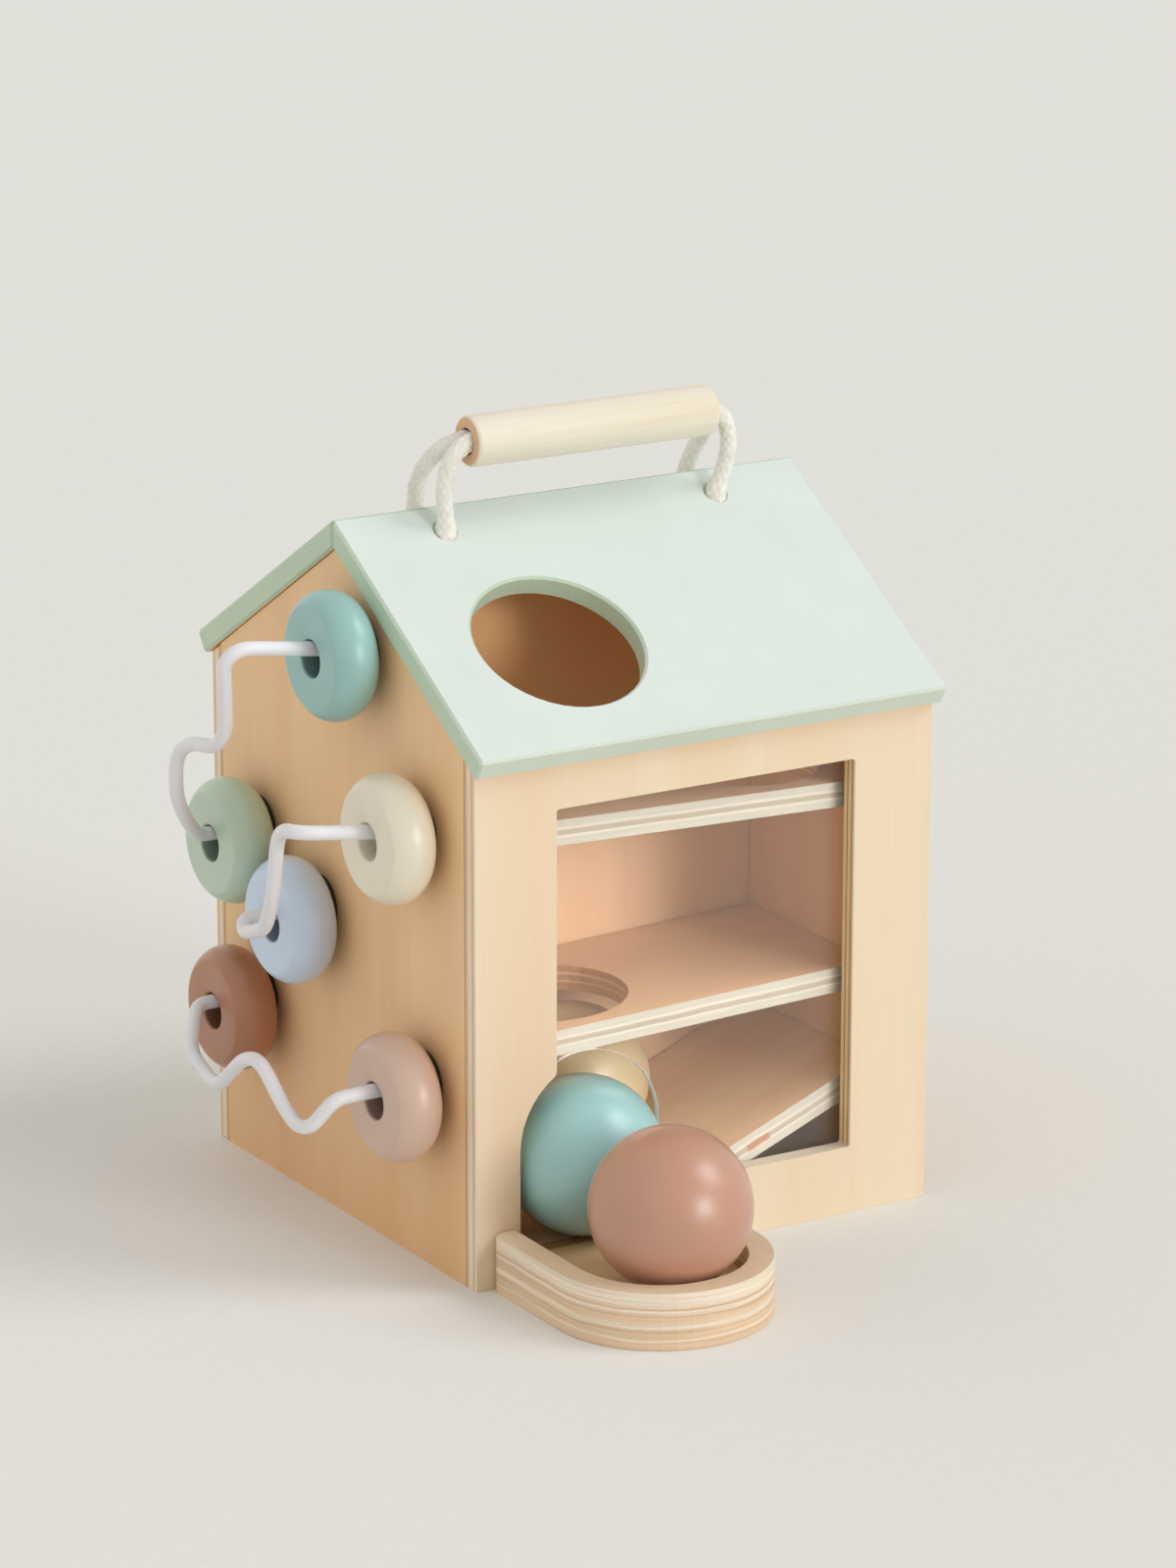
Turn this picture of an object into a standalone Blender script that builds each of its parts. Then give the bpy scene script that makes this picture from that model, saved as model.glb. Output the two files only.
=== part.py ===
"""Wooden activity house: a ball run behind a window, bead wires on one gable and a rope handle.

Metres, +Z up. The window side faces -Y, the bead wires are on the -X gable, and the
origin is the centre of the shell's base.
"""

import math

import bmesh
import bpy
from mathutils import Matrix, Vector

# Clearances
seam = 0.0003
overrun = 0.004

# Shell
house_width = 0.164
house_depth = 0.166
wall_height = 0.164
roof_pitch = math.radians(31.5)
face_thickness = 0.006
gable_thickness = 0.008
floor_thickness = 0.009
edge_ease = 0.0006

# Roof
roof_thickness = 0.0075
gable_overhang = 0.0014
eave_overhang = 0.0033
roof_ease = 0.0008
ball_hole_slack = 0.0024
ball_hole_down = 0.0621
rope_hole_down = 0.0108
rope_hole_side = 0.033
rope_hole_slack = 0.00065

# Window and ball door in the front panel
window_side = 0.0285
window_bottom = 0.0218
window_head = 0.0156
window_corner = 0.0010
door_slack = 0.0016
door_side = 0.0156
door_spring_lift = 0.0079
door_shoulder = 0.0025
pane_thickness = 0.002
pane_lap = 0.0085

# Ball run inside
cheek_thickness = 0.008
run_slack = 0.020
partition_thickness = 0.006
ramp_thickness = 0.008
ramp_tilt = math.radians(1.8)
ramp_hole_slack = 0.002
ramp_hole_side = 0.004
ramp_hole_lip = 0.0058
top_ramp_drop = 0.0232
exit_headroom = 0.0102
exit_ramp_thickness = 0.0082
exit_ramp_pitch = math.radians(21.8)
exit_ramp_past_door = 0.0116
exit_ramp_nose = 0.0006

# Tray at the ball door
tray_past_door = -0.0018
tray_slack = 0.002
tray_wall = 0.008
tray_height = 0.018
tray_end_slack = 0.00175
tray_corner = 0.003
tray_ease = 0.0009

# Balls: one in the run, one in the door that it leans on, and one loose in the tray
ball_radius = 0.025
run_ball_slack = 0.00134
run_ball_past_door = 0.0224
door_ball_past_door = 0.0002
loose_ball_past_door = -0.0016
loose_ball_gap = 0.0036

# Ring beads, hung on the wires of the left gable,
# with places given as shares of a bead's radius back from the ridge and down from it
bead_radius = 0.02025
bead_thickness = 0.015
bead_face_share = 0.80
bead_bore = 0.00575
bead_bore_ease = 0.001
bead_shares = {
    "bead_teal": (-0.8525, 1.402),
    "bead_green": (2.500, 5.136),
    "bead_cream": (-2.525, 3.824),
    "bead_blue": (0.549, 5.9133),
    "bead_brown": (2.5165, 7.8893),
    "bead_pink": (-2.656, 7.8325),
}

# Bead wires: each runs from one bead to another. Its ends are given as shares of the clear
# reach past a bead, and its bends as shares of the way between the two beads, of the same way
# turned square to the left, and of the whole reach. The two end corners bend tightly and the
# others sweep as widely as their neighbours let them.
wire_radius = 0.00225
wire_clear = 0.021
wire_bend = 0.006
wire_sweep = 0.016
wire_seat = 0.005
wire_rise = math.radians(8.0)
washer_radius = 0.010
washer_thickness = 0.0034
washer_slack = 0.0006
wire_shares = {
    "wire_upper": (
        "bead_teal", 1.40,
        ((0.261, -0.038, 1.000), (0.354, -0.045, 1.000), (0.487, 0.066, 1.000),
         (0.599, 0.106, 1.000), (0.745, 0.037, 0.945), (0.823, -0.003, 0.834)),
        "bead_green", 0.185,
    ),
    "wire_middle": (
        "bead_cream", 1.15,
        ((0.132, 0.155, 1.020), (0.429, -0.032, 0.933), (0.668, -0.110, 0.848),
         (0.942, -0.034, 0.770)),
        "bead_blue", 0.432,
    ),
    "wire_lower": (
        "bead_brown", 0.25,
        ((0.127, 0.070, 0.849), (0.378, 0.106, 0.956), (0.569, -0.039, 0.992),
         (0.681, -0.081, 1.003), (0.811, 0.021, 1.000), (0.922, 0.099, 0.971)),
        "bead_pink", 0.617,
    ),
}
rising_ends = ("bead_teal", "bead_cream")

# Handle: a bored grip on two ropes
grip_radius = 0.008
grip_bore_slack = 0.0005
grip_length = 0.087
grip_ease = 0.0015
grip_y = -0.013
grip_lift = 0.02234
rope_radius = 0.00265
strand_radius = 0.00175
strand_taper = 0.004
rope_step = 0.0055
knot_radius = 0.0055
knot_slack = 0.0005

# Rope routes, from the left knot through the grip to the right knot
front_rope_route = (
    (-0.0489, -0.0092, 0.2082), (-0.0489, -0.0092, 0.2130), (-0.0488, -0.0093, 0.2185),
    (-0.0491, -0.0096, 0.2230), (-0.0499, -0.0105, 0.2290), (-0.0504, -0.0121, 0.2350),
    (-0.0497, -0.0136, 0.2402), (-0.0475, -0.0147, 0.2443), (-0.0440, -0.01495, 0.2460),
    (-0.0330, -0.01495, 0.2460), (-0.0110, -0.01495, 0.2460), (0.0110, -0.01495, 0.2460),
    (0.0330, -0.01495, 0.2460), (0.0440, -0.01495, 0.2460), (0.0480, -0.0147, 0.2437),
    (0.0504, -0.0137, 0.2390), (0.0518, -0.0122, 0.2335), (0.0518, -0.0105, 0.2280),
    (0.0505, -0.0096, 0.2228), (0.0491, -0.0093, 0.2185), (0.0489, -0.0092, 0.2130),
    (0.0489, -0.0092, 0.2082),
)
back_rope_route = (
    (-0.0489, 0.0092, 0.2082), (-0.0489, 0.0092, 0.2130), (-0.0489, 0.0091, 0.2185),
    (-0.0496, 0.0082, 0.2240), (-0.0503, 0.0056, 0.2300), (-0.0504, 0.0010, 0.2362),
    (-0.0492, -0.0040, 0.2412), (-0.0473, -0.0085, 0.2446), (-0.0440, -0.01105, 0.2460),
    (-0.0330, -0.01105, 0.2460), (-0.0110, -0.01105, 0.2460), (0.0110, -0.01105, 0.2460),
    (0.0330, -0.01105, 0.2460), (0.0440, -0.01105, 0.2460), (0.0474, -0.0085, 0.2440),
    (0.0494, -0.0040, 0.2398), (0.0503, 0.0010, 0.2345), (0.0502, 0.0056, 0.2290),
    (0.0496, 0.0082, 0.2238), (0.0489, 0.0091, 0.2185), (0.0489, 0.0092, 0.2130),
    (0.0489, 0.0092, 0.2082),
)

# Facet counts
hole_sides = 44
drill_sides = 16
ball_sides = 28
ring_sides = 28
washer_sides = 18
knot_sides = 14
tray_steps = 24
corner_steps = 3
arch_step = math.radians(9.0)
bend_step = math.radians(16.0)

# Places that follow from the sizes
half_width = house_width / 2
half_depth = house_depth / 2
face_back = half_depth - face_thickness
gable_inner = half_width - gable_thickness
slope_rise = math.tan(roof_pitch)
upright_seam = seam / math.cos(roof_pitch)
ridge_under = wall_height + half_depth * slope_rise
ridge_top = ridge_under + roof_thickness / math.cos(roof_pitch)
weld_distance = seam / 30

window_half_width = half_width - window_side
window_top = wall_height - window_head
door_radius = ball_radius + door_slack
door_x = door_side + door_radius - half_width
door_spring = floor_thickness + ball_radius + door_spring_lift

run_half_width = gable_inner - seam - cheek_thickness
run_depth = 2 * ball_radius + run_slack
run_front = face_back - seam - pane_thickness - seam
partition_front = run_front - run_depth - seam
ball_hole_radius = ball_radius + ball_hole_slack
ramp_hole_radius = ball_radius + ramp_hole_slack
ramp_hole_x = run_half_width - ramp_hole_side - ramp_hole_radius
ramp_hole_y = ramp_hole_lip + ramp_hole_radius - run_front
top_ramp_height = wall_height - top_ramp_drop
middle_ramp_height = floor_thickness + 2 * ball_radius + exit_headroom + ramp_thickness
exit_ramp_foot = door_x + exit_ramp_past_door

tray_front = half_depth + seam
tray_x = door_x + tray_past_door
tray_inner = ball_radius + tray_slack
tray_half_width = tray_inner + tray_wall

bead_standoff = seam + washer_thickness + seam
bead_face = bead_standoff + bead_thickness
wire_reach = bead_face + wire_clear

rope_hole_spread = half_width - rope_hole_side
rope_hole_radius = rope_radius + rope_hole_slack
knot_across = rope_hole_down * math.cos(roof_pitch)
knot_down = knot_across * slope_rise + (knot_radius + seam) / math.cos(roof_pitch)
grip_bore = 2 * strand_radius + grip_bore_slack
grip_half = grip_length / 2
grip_z = ridge_top + grip_lift

parts = bpy.data.collections.new("activity_house")
cutters = bpy.data.collections.new("cutters")


def roof_under(y):
    """Height of the roof's underside at y."""
    return ridge_under - abs(y) * slope_rise


def ramp_top(height, tilt, x):
    """Height of a ramp's upper face at x."""
    return height + x * math.tan(tilt)


def exit_ramp_top(x):
    """Height of the exit ramp's upper face at x."""
    return floor_thickness + seam + exit_ramp_nose + (x - exit_ramp_foot) * math.tan(exit_ramp_pitch)


def arc(centre_u, centre_v, radius, start, end, steps):
    """Points on an arc, both ends included."""
    points = []
    for step in range(steps + 1):
        angle = start + (end - start) * step / steps
        points.append((centre_u + radius * math.cos(angle), centre_v + radius * math.sin(angle)))
    return points


def bend_corner(before, corner, after, radius, step_angle):
    """Points that round one corner of a route with an arc."""
    back = before - corner
    on = after - corner
    turn = math.pi - back.angle(on)
    tangent = min(radius * math.tan(turn / 2), min(back.length, on.length) / 2)
    reach = tangent / math.tan(turn / 2)
    back.normalize()
    on.normalize()
    centre = corner + (back + on).normalized() * math.hypot(tangent, reach)
    start = (corner + back * tangent - centre).normalized()
    end = (corner + on * tangent - centre).normalized()
    steps = max(2, math.ceil(turn / step_angle))
    return [centre + start.slerp(end, step / steps) * reach for step in range(steps + 1)]


def rounded_outline(corners):
    """A flat outline from (u, v, radius) corners, each rounded by its own radius."""
    outline = []
    count = len(corners)
    for index, (u, v, radius) in enumerate(corners):
        if radius == 0:
            outline.append((u, v))
            continue
        before = Vector((*corners[index - 1][:2], 0))
        after = Vector((*corners[(index + 1) % count][:2], 0))
        for point in bend_corner(before, Vector((u, v, 0)), after, radius, math.pi / 2 / corner_steps):
            outline.append((point.x, point.y))
    return outline


def smooth_route(route, step):
    """Even points along a smooth curve through a route's points."""
    points = [Vector(place) for place in route]
    ends = [points[0] * 2 - points[1], *points, points[-1] * 2 - points[-2]]
    dense = []
    for before, start, end, after in zip(ends, ends[1:], ends[2:], ends[3:]):
        pieces = max(1, round((end - start).length / step))
        for piece in range(pieces):
            t = piece / pieces
            middle = (end - before) * t
            bow = (before * 2 - start * 5 + end * 4 - after) * t * t
            twist = (start * 3 - before - end * 3 + after) * t * t * t
            dense.append(start + (middle + bow + twist) / 2)
    dense.append(points[-1])
    return dense


def material(name, colour, roughness, metallic=0.0, transmission=0.0):
    """A Principled material."""
    made = bpy.data.materials.new(name)
    made.use_nodes = True
    shader = made.node_tree.nodes["Principled BSDF"]
    shader.inputs["Base Color"].default_value = (*colour, 1.0)
    shader.inputs["Roughness"].default_value = roughness
    shader.inputs["Metallic"].default_value = metallic
    shader.inputs["Transmission Weight"].default_value = transmission
    made.diffuse_color = (*colour, 1.0)
    return made


def move_to(obj, collection):
    """Keep an object in one collection only."""
    for holder in list(obj.users_collection):
        holder.objects.unlink(obj)
    collection.objects.link(obj)


def dress(obj, made):
    """Give an object its material and smooth shading with crisp edges."""
    obj.data.materials.clear()
    obj.data.materials.append(made)
    obj.data.shade_smooth()
    obj.data.set_sharp_from_angle(angle=math.radians(35))


def ease(obj, width):
    """Take the sharpness off an object's edges."""
    bevel = obj.modifiers.new("eased edges", "BEVEL")
    bevel.width = width
    bevel.segments = 1
    bevel.limit_method = "ANGLE"
    bevel.angle_limit = math.radians(40)
    bevel.use_clamp_overlap = True


def new_object(name, mesh, collection):
    """An object for a mesh, in the given collection."""
    obj = bpy.data.objects.new(name, mesh)
    collection.objects.link(obj)
    return obj


def curve_to_mesh(curve, name):
    """A welded mesh of a curve, which is removed."""
    holder = new_object(name, curve, parts)
    bpy.context.view_layer.update()
    seen = holder.evaluated_get(bpy.context.evaluated_depsgraph_get())
    mesh = bpy.data.meshes.new_from_object(seen)
    bpy.data.objects.remove(holder, do_unlink=True)
    bpy.data.curves.remove(curve)
    welded = bmesh.new()
    welded.from_mesh(mesh)
    bmesh.ops.remove_doubles(welded, verts=welded.verts, dist=weld_distance)
    bmesh.ops.recalc_face_normals(welded, faces=welded.faces)
    welded.to_mesh(mesh)
    welded.free()
    mesh.name = name
    return mesh


def flat_mesh(name, loops, thickness):
    """A flat outline, with holes where further loops lie inside it, as a mesh."""
    curve = bpy.data.curves.new(name, "CURVE")
    curve.dimensions = "2D"
    curve.fill_mode = "BOTH"
    curve.extrude = thickness / 2
    for loop in loops:
        spline = curve.splines.new("POLY")
        spline.points.add(len(loop) - 1)
        for point, (u, v) in zip(spline.points, loop):
            point.co = (u, v, 0, 1)
        spline.use_cyclic_u = True
    return curve_to_mesh(curve, name)


def facing_front(mesh, y):
    """Stand a flat mesh up in the XZ plane at y."""
    mesh.transform(Matrix.Translation((0, y, 0)) @ Matrix.Rotation(math.pi / 2, 4, "X"))


def facing_side(mesh, x):
    """Stand a flat mesh up in the YZ plane at x."""
    turn = Matrix(((0, 0, 1, 0), (1, 0, 0, 0), (0, 1, 0, 0), (0, 0, 0, 1)))
    mesh.transform(Matrix.Translation((x, 0, 0)) @ turn)


def drill(name, radius, length, place, turn, sides):
    """A round cutter."""
    bpy.ops.mesh.primitive_cylinder_add(vertices=sides, radius=radius, depth=length, location=place)
    cutter = bpy.context.object
    cutter.name = name
    cutter.rotation_euler = turn
    cutter.hide_render = True
    cutter.display_type = "WIRE"
    move_to(cutter, cutters)
    return cutter


def cut(obj, cutter):
    """Take a cutter's shape out of an object."""
    boolean = obj.modifiers.new(cutter.name, "BOOLEAN")
    boolean.operation = "DIFFERENCE"
    boolean.solver = "EXACT"
    boolean.object = cutter


def turned(name, profile, sides, collection):
    """A ring turned round the Z axis from a closed profile of (radius, height) points."""
    mesh = bpy.data.meshes.new(name)
    count = len(profile)
    edges = [(index, (index + 1) % count) for index in range(count)]
    mesh.from_pydata([(radius, 0, height) for radius, height in profile], edges, [])
    obj = new_object(name, mesh, collection)
    screw = obj.modifiers.new("turned", "SCREW")
    screw.steps = sides
    screw.render_steps = sides
    screw.use_merge_vertices = True
    screw.merge_threshold = weld_distance
    screw.use_smooth_shade = True
    return obj


def ring_profile(radius, bore, thickness, corner, bore_corner, steps):
    """Profile of a ring, down its outer side and up its bore."""
    half = thickness / 2
    quarter = math.pi / 2
    points = arc(radius - corner, half - corner, corner, quarter, 0, steps)
    points += arc(radius - corner, corner - half, corner, 0, -quarter, steps)
    return points + bore_profile(bore, thickness, bore_corner)


def bore_profile(bore, thickness, corner):
    """Profile of a bore with eased edges, from its lower end up."""
    half = thickness / 2
    quarter = math.pi / 2
    points = arc(bore + corner, corner - half, corner, -quarter, -2 * quarter, 1)
    points += arc(bore + corner, half - corner, corner, 2 * quarter, quarter, 1)
    return points


def bead_profile():
    """Profile of a bead: a rim that is one full arc between two flat faces, then the bore."""
    half = bead_thickness / 2
    drop = bead_radius * (1 - bead_face_share)
    rim_radius = (half * half + drop * drop) / (2 * drop)
    rim_turn = math.asin(half / rim_radius)
    points = arc(bead_radius - rim_radius, 0, rim_radius, rim_turn, -rim_turn, 2 * corner_steps)
    return points + bore_profile(bead_bore, bead_thickness, bead_bore_ease)


def tube(name, points, radius, radii=None):
    """A round tube through the points, thinner where radii gives shares below 1."""
    curve = bpy.data.curves.new(name, "CURVE")
    curve.dimensions = "3D"
    curve.bevel_depth = radius
    curve.bevel_resolution = 2
    curve.use_fill_caps = True
    curve.twist_mode = "MINIMUM"
    spline = curve.splines.new("POLY")
    spline.points.add(len(points) - 1)
    for index, place in enumerate(points):
        spline.points[index].co = (*place, 1)
        if radii:
            spline.points[index].radius = radii[index]
    return new_object(name, curve, parts)


def cap_gables(mesh, outward):
    """Slope the top of a front or back panel to the roof's pitch."""
    outer = outward * half_depth
    for vertex in mesh.vertices:
        if vertex.co.z > wall_height - overrun:
            vertex.co.z = vertex.co.z + abs(outer - vertex.co.y) * slope_rise


def door_outline(radius, bottom):
    """Outline of the round-topped ball door."""
    steps = math.ceil(math.pi / arch_step)
    outline = arc(door_x, door_spring, radius, 0, math.pi, steps)
    return outline + [(door_x - radius, bottom), (door_x + radius, bottom)]


def opening_outline():
    """Outline of the window and the door, which run into each other."""
    side = -window_half_width
    meet = math.acos((side - door_x) / door_radius)
    steps = max(3, math.ceil((math.pi - meet) / arch_step))
    arch = arc(door_x, door_spring, door_radius, meet, math.pi, steps)
    left = door_x - door_radius
    right = door_x + door_radius
    corners = [(side, window_top, window_corner), (*arch[0], door_shoulder)]
    corners += [(u, v, 0) for u, v in arch[1:]]
    corners += [(left, floor_thickness, 0), (right, floor_thickness, 0)]
    corners += [(right, window_bottom, window_corner)]
    corners += [(window_half_width, window_bottom, window_corner)]
    corners += [(window_half_width, window_top, window_corner)]
    return rounded_outline(corners)


def build_faces(wood):
    """Front and back panels."""
    top = wall_height - upright_seam
    sheet = [(-half_width, 0), (half_width, 0), (half_width, top), (-half_width, top)]
    for name, outward, loops in (
        ("front_panel", -1, [sheet, opening_outline()]),
        ("back_panel", 1, [sheet]),
    ):
        mesh = flat_mesh(name, loops, face_thickness)
        facing_front(mesh, outward * (half_depth - face_thickness / 2))
        cap_gables(mesh, outward)
        panel = new_object(name, mesh, parts)
        ease(panel, edge_ease)
        dress(panel, wood)


def gable_outline(front, back, bottom):
    """A wall's outline from front to back under the roof."""
    outline = [(front, bottom), (back, bottom), (back, roof_under(back) - upright_seam)]
    if front < 0 < back:
        outline.append((0, ridge_under - upright_seam))
    outline.append((front, roof_under(front) - upright_seam))
    return outline


def build_gables(wood):
    """Left and right gables between the front and back panels; the left one takes the wires."""
    reach = face_back - seam
    for name, side in (("left_gable", -1), ("right_gable", 1)):
        mesh = flat_mesh(name, [gable_outline(-reach, reach, 0)], gable_thickness)
        facing_side(mesh, side * (half_width - gable_thickness / 2))
        panel = new_object(name, mesh, parts)
        if side < 0:
            for bead in bead_shares:
                cut(panel, wire_socket(bead))
        dress(panel, wood)


def build_inner_walls(wood):
    """Floor, the two cheeks of the run and the partition behind it."""
    reach = face_back - seam
    inside = gable_inner - seam
    sheet = [(-inside, -reach), (inside, -reach), (inside, reach), (-inside, reach)]
    mesh = flat_mesh("floor_panel", [sheet], floor_thickness)
    mesh.transform(Matrix.Translation((0, 0, floor_thickness / 2)))
    dress(new_object("floor_panel", mesh, parts), wood)

    bottom = floor_thickness + seam
    for name, side in (("left_cheek", -1), ("right_cheek", 1)):
        outline = gable_outline(-reach, -(partition_front + seam), bottom)
        mesh = flat_mesh(name, [outline], cheek_thickness)
        facing_side(mesh, side * (run_half_width + cheek_thickness / 2))
        dress(new_object(name, mesh, parts), wood)

    top = ridge_under - knot_down - knot_radius - knot_slack
    sheet = [(-inside, bottom), (inside, bottom), (inside, top), (-inside, top)]
    mesh = flat_mesh("mid_partition", [sheet], partition_thickness)
    facing_front(mesh, partition_thickness / 2 - partition_front)
    dress(new_object("mid_partition", mesh, parts), wood)


def build_pane(acrylic):
    """Window pane behind the front panel, cut out for the ball door."""
    side = run_half_width - seam
    bottom = floor_thickness + seam
    top = window_top + pane_lap
    sheet = [(-side, bottom), (side, bottom), (side, top), (-side, top)]
    mesh = flat_mesh("window_pane", [sheet], pane_thickness)
    middle = -(face_back - seam - pane_thickness / 2)
    facing_front(mesh, middle)
    pane = new_object("window_pane", mesh, parts)

    door = flat_mesh("pane door", [door_outline(door_radius, bottom - overrun)], pane_thickness + overrun)
    facing_front(door, middle)
    cutter = new_object("pane door", door, cutters)
    cutter.hide_render = True
    cutter.display_type = "WIRE"
    cut(pane, cutter)
    dress(pane, acrylic)


def ramp_slab(name, outline):
    """A ramp from its side outline, from the pane to the partition."""
    mesh = flat_mesh(name, [outline], run_depth - seam)
    facing_front(mesh, -(run_front - (run_depth - seam) / 2))
    return new_object(name, mesh, parts)


def build_ramps(ply):
    """Two holed ramps that tilt opposite ways, and the exit ramp down to the door."""
    side = run_half_width - seam
    drop = ramp_thickness / math.cos(ramp_tilt)
    for name, height, tilt, hole_x in (
        ("top_ramp", top_ramp_height, -ramp_tilt, ramp_hole_x),
        ("middle_ramp", middle_ramp_height, ramp_tilt, -ramp_hole_x),
    ):
        left = ramp_top(height, tilt, -side)
        right = ramp_top(height, tilt, side)
        ramp = ramp_slab(name, [(-side, left), (-side, left - drop), (side, right - drop), (side, right)])
        place = (hole_x, ramp_hole_y, height)
        length = drop + 4 * overrun
        cut(ramp, drill(name + " hole", ramp_hole_radius, length, place, (0, 0, 0), hole_sides))
        dress(ramp, ply)

    floor_top = floor_thickness + seam
    depth = exit_ramp_thickness / math.cos(exit_ramp_pitch)
    nose_top = floor_top + exit_ramp_nose
    heel = exit_ramp_foot + (depth - exit_ramp_nose) / math.tan(exit_ramp_pitch)
    outline = [
        (exit_ramp_foot, nose_top), (exit_ramp_foot, floor_top), (heel, floor_top),
        (side, exit_ramp_top(side) - depth), (side, exit_ramp_top(side)),
    ]
    dress(ramp_slab("exit_ramp", outline), ply)


def build_roof(paint):
    """Two panels that meet in a mitre, with the ball hole and the rope holes."""
    for name, outward in (("roof_front", -1), ("roof_back", 1)):
        eave_y = half_depth + eave_overhang * math.cos(roof_pitch)
        eave_z = wall_height - eave_overhang * math.sin(roof_pitch)
        lift_y = roof_thickness * math.sin(roof_pitch)
        lift_z = roof_thickness * math.cos(roof_pitch)
        meet = seam / 2
        outline = [
            (outward * meet, roof_under(meet)),
            (outward * eave_y, eave_z),
            (outward * (eave_y + lift_y), eave_z + lift_z),
            (outward * meet, ridge_top - meet * slope_rise),
        ]
        mesh = flat_mesh(name, [outline], house_width + 2 * gable_overhang)
        facing_side(mesh, 0)
        panel = new_object(name, mesh, parts)
        if outward < 0:
            run = ball_hole_down
            place = (-ramp_hole_x, -run * math.cos(roof_pitch), ridge_top - run * math.sin(roof_pitch))
            length = 2 * (roof_thickness + overrun)
            turn = (roof_pitch, 0, 0)
            cut(panel, drill("roof ball hole", ball_hole_radius, length, place, turn, hole_sides))
        for side in (-1, 1):
            height = ridge_top - rope_hole_down * math.sin(roof_pitch)
            place = (side * rope_hole_spread, outward * knot_across, height)
            length = 4 * roof_thickness
            cut(panel, drill("rope hole", rope_hole_radius, length, place, (0, 0, 0), drill_sides))
        ease(panel, roof_ease)
        dress(panel, paint)


def tray_loop(half):
    """Round-ended outline of half the tray's width, from the house wall out and back."""
    loose_ball = ball_places()[-1]
    wide = math.sqrt(ball_radius ** 2 - (loose_ball.z - tray_height) ** 2)
    end = loose_ball.y - wide - tray_end_slack
    bend = arc(tray_x, end + tray_inner, half, math.pi, 2 * math.pi, tray_steps)
    return [(tray_x - half, -tray_front)] + bend + [(tray_x + half, -tray_front)]


def build_tray(ply, wood):
    """Laminated rim round the tray and the floor inside it."""
    outer_loop = tray_loop(tray_half_width)
    inner_loop = tray_loop(tray_inner)
    corners = [(*outer_loop[0], tray_corner)]
    corners += [(u, v, 0) for u, v in outer_loop[1:-1]]
    corners += [(*outer_loop[-1], tray_corner)]
    corners += [(u, v, 0) for u, v in reversed(inner_loop)]
    mesh = flat_mesh("tray_rim", [rounded_outline(corners)], tray_height)
    mesh.transform(Matrix.Translation((0, 0, tray_height / 2)))
    rim = new_object("tray_rim", mesh, parts)
    ease(rim, tray_ease)
    dress(rim, ply)

    mesh = flat_mesh("tray_floor", [tray_loop(tray_inner - seam)], floor_thickness)
    mesh.transform(Matrix.Translation((0, 0, floor_thickness / 2)))
    dress(new_object("tray_floor", mesh, parts), wood)


def ball_places():
    """Centres of the balls in the run, in the door and loose in the tray."""
    run = Vector((door_x + run_ball_past_door, -(partition_front + run_ball_slack + ball_radius), 0))
    run.z = exit_ramp_top(run.x) + (ball_radius + seam) / math.cos(exit_ramp_pitch)
    rest = floor_thickness + seam + ball_radius
    door = Vector((door_x + door_ball_past_door, 0, rest))
    touching = 2 * ball_radius + seam
    door.y = run.y - math.sqrt(touching ** 2 - (run.x - door.x) ** 2 - (run.z - door.z) ** 2)
    loose = Vector((door_x + loose_ball_past_door, door.y - 2 * ball_radius - loose_ball_gap, rest))
    return run, door, loose


def add_ball(name, place, made):
    """One wooden ball."""
    bpy.ops.mesh.primitive_uv_sphere_add(
        segments=ball_sides, ring_count=ball_sides // 2, radius=ball_radius, location=place
    )
    ball = bpy.context.object
    ball.name = name
    move_to(ball, parts)
    dress(ball, made)


def build_balls(terracotta, teal, cream):
    """One ball in the tray, one in the door, and one behind it on the exit ramp."""
    run, door, loose = ball_places()
    add_ball("ball_terracotta", loose, terracotta)
    add_ball("ball_teal", door, teal)
    add_ball("ball_cream", run, cream)


def bead_place(bead):
    """Centre of a bead on the left gable."""
    back_share, down_share = bead_shares[bead]
    x = -(half_width + bead_standoff + bead_thickness / 2)
    return Vector((x, back_share * bead_radius, ridge_under - down_share * bead_radius))


def wire_point(bead, out):
    """Point of the wire's straight end in a bead, the given distance out from the gable."""
    centre = bead_place(bead)
    hang = bead_bore - wire_radius - seam
    rise = math.tan(wire_rise) if bead in rising_ends else 0
    return Vector((-(half_width + out), centre.y, centre.z + hang + (out - bead_face) * rise))


def wire_turn(bead):
    """Turn that lays the Z axis along a wire's straight end."""
    run = wire_point(bead, overrun) - wire_point(bead, 0)
    return run.to_track_quat("Z", "Y").to_euler()


def wire_socket(bead):
    """Cutter for the hole in the gable that a wire's end sits in."""
    deep = wire_seat + seam
    place = wire_point(bead, (overrun - deep) / 2)
    return drill(bead + " socket", wire_radius + seam, overrun + deep, place, wire_turn(bead), drill_sides)


def wire_route(first, first_share, bends, last, last_share):
    """Points of a bent wire from its seat at one bead to its seat at the other."""
    start = bead_place(first)
    way = bead_place(last) - start
    across = Vector((0, -way.z, way.y))
    first_out = bead_face + first_share * wire_clear
    last_out = bead_face + last_share * wire_clear
    corners = [wire_point(first, -wire_seat), wire_point(first, first_out)]
    for along_share, across_share, out_share in bends:
        corner = start + way * along_share + across * across_share
        corner.x = -(half_width + out_share * wire_reach)
        corners.append(corner)
    corners += [wire_point(last, last_out), wire_point(last, -wire_seat)]
    radii = [wire_bend] + [wire_sweep] * len(bends) + [wire_bend]
    points = [corners[0]]
    for before, corner, after, radius in zip(corners, corners[1:], corners[2:], radii):
        points += bend_corner(before, corner, after, radius, bend_step)
    points.append(corners[-1])
    return points


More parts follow.
